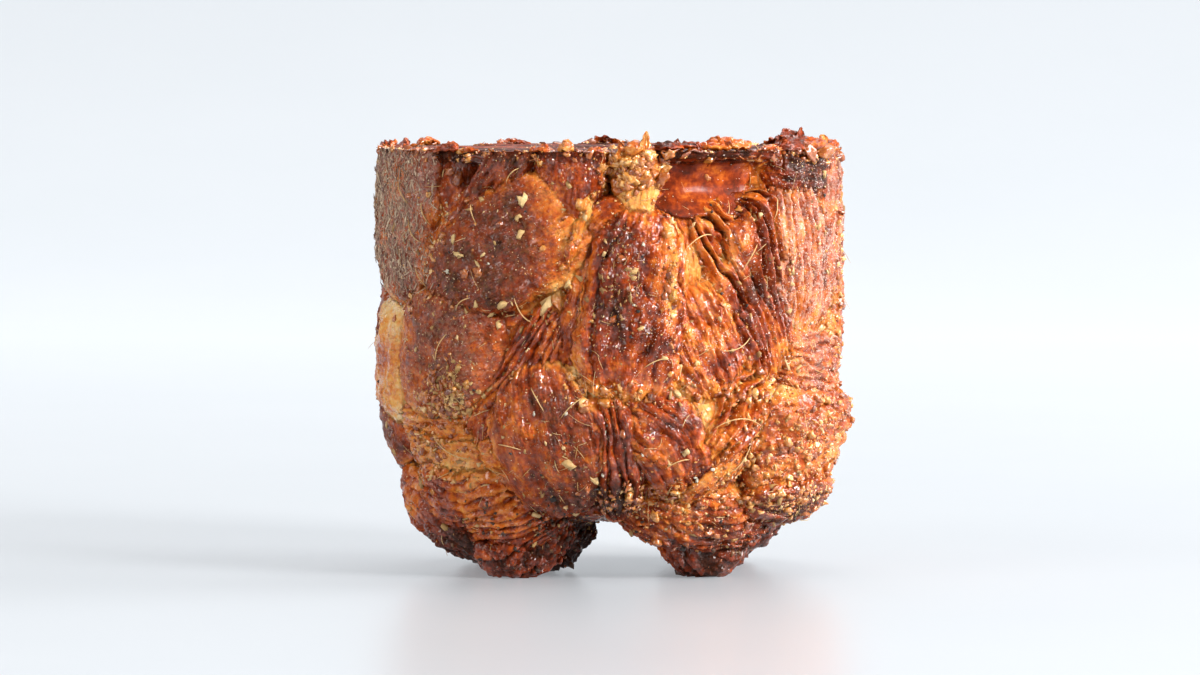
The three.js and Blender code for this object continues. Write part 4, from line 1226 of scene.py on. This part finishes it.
def strew_all(crust):
    field = Field(crust)
    rng = np.random.default_rng(SEED + 2)
    looks = {name: grain_material(name, *look) for name, look in GRAIN_LOOKS.items()}

    # How likely each kind is to lie at each spot: on the wall, the top and the rim, and in its drifts
    middle = field.middle
    angle, height = on_the_wall(middle)
    wall = (field.facing[:, 2] < 0.8) * smooth(2, 9, height)
    top = field.facing[:, 2] > 0.8
    radius = np.hypot(middle[:, 0], middle[:, 1])
    rim = np.exp(-(((height - HEIGHT) / 1.2) ** 2) - ((radius - 38.5) / 2.0) ** 2)
    corner = 1 + 3 * np.exp(-(((angle - 58) / 14) ** 2))
    left_band = smooth(-48, -60, angle) * smooth(-118, -98, angle)
    left_band = wall * left_band * smooth(46, 52, height) * smooth(71.8, 71, height)
    bare = wall * (1 - np.minimum(1, 1.3 * blob(middle, *AMBER_HOLLOW)))
    patchy = smooth(-0.3, 0.6, noise(middle / 7 + 40))
    crease = smooth(0.8, 0.5, field.free) * smooth(0.1, 0.3, field.free)
    gold = drifts(middle, GOLD_DRIFTS) * (0.5 + crease) + crease * patchy * smooth(14, 20, height)
    green = drifts(middle, GREEN_DRIFTS)
    dust = field.dust
    feet_low = 0.3 * smooth(12, 3, height) + 2 * blob(middle, *CHARRED_FOOT)

    # One kind of grain: how many, how likely where, shapes, least and greatest width, and looks.
    # Small grains are more common than large ones.
    def put(name, count, chance, shapes, low, high, look, **more):
        spots, facing = field.pick(rng, count, chance)
        sizes = low + (high - low) * rng.beta(1.2, 2.6, count)
        strewn(name, rng, spots, facing, shapes, sizes, looks[look], **more)

    crystals = [crystal_shape(rng) for _ in range(12)]
    lumps = [lump_shape(rng, 1, 0.3) for _ in range(12)]
    round_lumps = [lump_shape(rng, 2, 0.38) for _ in range(12)]
    knobs = [lump_shape(rng, 3, 0.24) for _ in range(12)]
    chips = [chip_shape(rng, rng.uniform(0.06, 0.16)) for _ in range(14)]
    flakes = [chip_shape(rng, 0.035) for _ in range(14)]
    fibres = [fibre_shape(rng, thick) for thick in np.linspace(0.006, 0.011, 14)]
    stubs = [fibre_shape(rng, thick) for thick in np.linspace(0.014, 0.03, 14)]
    bristles = [fibre_shape(rng, thick, 5, 3) for thick in np.linspace(0.05, 0.09, 14)]

    large_crumbs(field, rng, looks["crumb"])
    put("neck_crumbs", 46, wall * blob(middle, *NECK), knobs, 1.4, 3.4, "crumb",
        sunk=-0.1, tones=(0.5, 0.9))
    put("clusters", 560, wall * gold**1.5, round_lumps, 0.9, 2.6, "crumb", tones=(0.2, 0.95))
    put("crumbs", 1700, bare * gold + 0.25 * rim, round_lumps, 0.5, 1.7, "crumb", tones=(0.25, 1.0))
    put("fine_crumbs", 5000, bare * (0.5 * patchy + gold) + 0.6 * rim, lumps, 0.25, 0.9, "crumb",
        tones=(0.2, 1.0))
    put("sugar_grains", 6500, bare * (0.6 + 0.8 * dust + 0.5 * gold) + 0.2 * top + 0.3 * rim, crystals,
        0.18, 0.6, "sugar")
    put("specks", 9000, bare * (0.05 + dust), crystals, 0.16, 0.42, "speck", sunk=0.15)
    put("dust_grains", 4500, left_band, crystals, 0.2, 0.75, "fuzz")
    put("fuzz", 2600, left_band, bristles, 0.8, 2.6, "fuzz", lean=0.1, sunk=0.02, run=(0, 0, 1))
    put("sparkles", 6000, wall * field.free * drifts(middle, SPARKLING), crystals, 0.16, 0.45, "glint")
    put("husk_clumps", 110, wall * blob(middle, *HUSK_HEAP), round_lumps, 0.4, 1.7, "husk_pale",
        tones=(-0.2, 0.6))
    put("husk_chips", 620, bare * (0.35 + 0.5 * patchy + 0.3 * dust + 0.4 * green), chips, 0.7, 2.8,
        "husk", lean=0.25, sunk=0.05)
    put("green_crumbs", 1200, wall * green, chips, 0.4, 1.6, "husk", lean=0.8, sunk=0.25, tones=(0, 0.6))
    put("pale_seeds", 90, wall * (0.4 + patchy), round_lumps, 0.5, 1.0, "pale", sunk=0.0)
    put("dark_seeds", 90, wall * (0.4 + patchy + 0.5 * green), round_lumps, 0.4, 1.0, "seed", sunk=0.0)
    put("long_fibres", 80, wall * (0.3 + patchy), fibres, 3.0, 8.5, "straw", lean=0.12, sunk=-0.04)
    put("short_fibres", 650, wall * (0.4 + patchy + 0.4 * green), stubs, 1.4, 4.0, "straw",
        lean=0.2, sunk=-0.03)
    put("char_crumbs", 420, feet_low, lumps, 0.4, 1.6, "char", sunk=0.15)
    put("foot_crumbs", 500, smooth(14, 3, height), lumps, 0.3, 1.3, "crumb", sunk=0.15, tones=(0, 0.5))
    put("flakes", 260, rim * corner, flakes, 1.2, 4.0, "crumb", lean=0.45, sunk=0.0, tones=(0.0, 0.6))
    placed_chips(field, rng, looks["husk_pale"])
    placed_fibres(field, looks["straw"])
    rim_scraps(crust.data.materials[0])


# The photograph's view: nearly level, from far away. The camera and the lamps are placed in metres.
CAMERA_AT = (-0.0017, -1.1, 0.094)
CAMERA_DOWN = 2.838  # degrees below the level
PHOTO_FOCAL = 6448  # pixels, of a picture 1200 pixels wide
PHOTO_WIDTH = 1200
SENSOR = 36.0  # millimetres wide
BUN_MIDDLE = Vector((0, 0, 0.04))  # what the lamps point at
WARM_WHITE = (1.0, 0.98, 0.95)


def make_camera():
    camera = show("camera", bpy.data.cameras.new("camera"))
    camera.data.sensor_width = SENSOR
    camera.data.lens = PHOTO_FOCAL / PHOTO_WIDTH * SENSOR
    camera.location = CAMERA_AT
    camera.rotation_euler = (math.radians(90 - CAMERA_DOWN), 0, 0)
    bpy.context.scene.camera = camera


def make_lamp(name, place, size, power, colour=(1, 1, 1)):
    lamp = show(name, bpy.data.lights.new(name, "AREA"))
    lamp.data.size = size
    lamp.data.energy = power
    lamp.data.color = colour
    lamp.location = place
    lamp.rotation_euler = (BUN_MIDDLE - lamp.location).to_track_quat("-Z", "Y").to_euler()


# A grey table that curves up far behind, so that no horizon shows
def make_floor():
    reach, bend, tall = 1.6, 0.8, 2.2
    turn = np.linspace(0, math.pi / 2, 24)
    arc = [(reach - bend + bend * math.sin(a), bend - bend * math.cos(a)) for a in turn]
    line = np.array([(-reach, 0.0), *arc, (reach, tall)])
    left = np.insert(line, 0, -2 * reach, axis=1)
    right = np.insert(line, 0, 2 * reach, axis=1)
    points = np.concatenate([left, right]) / MM
    i = np.arange(len(line) - 1)
    strips = stack(i, i + len(line), i + len(line) + 1, i + 1)
    mesh = mesh_from("floor", points, (strips,), {})
    shade_smooth(mesh)
    s = Shader(bpy.data.materials.new("table"))
    cloud = s.noise(s.place(9), 1.0, 5)
    away = s.node("VectorMath", {0: s.place(1)}, operation="LENGTH")["Value"]
    s.set(Base_Color=s.mix(cloud, (0.26, 0.275, 0.29), (0.3, 0.31, 0.325)), Roughness=0.3)
    # The table also glows, faintly by the bun and more with distance: painted light, which keeps the
    # shadows on it faint
    s.set(Emission_Color=(0.9, 0.95, 1), Emission_Strength=s.span(away, 0.1, 1.1, 0.25, 0.53))
    mesh.materials.append(s.owner)
    show("floor", mesh)


# A bright room behind and above, dim behind the camera
def make_light():
    s = Shader(bpy.data.worlds.new("studio"), "Background")
    towards = s.node("VectorMath", {0: s.node("TexCoord")["Generated"], 1: (0.2, 0.5, 0.84)},
                     operation="DOT_PRODUCT")["Value"]
    bpy.context.scene.world = s.set(Color=WARM_WHITE, Strength=s.span(towards, -0.6, 0.9, 0.02, 0.6))
    make_lamp("key", (0.76, -0.6, 0.5), size=0.32, power=16)
    make_lamp("window", (1.1, 0.15, 0.5), size=0.6, power=16)
    make_lamp("overhead", (0.1, 0.45, 1.1), size=0.7, power=7)
    make_lamp("fill", (-0.8, -0.5, 0.4), size=0.5, power=3.8, colour=WARM_WHITE)
    bpy.context.scene.view_settings.view_transform = "Standard"


make_camera()
make_light()
make_floor()
crust = make_crust()
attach(crust, "root")
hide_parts("bun")
strew_all(crust)
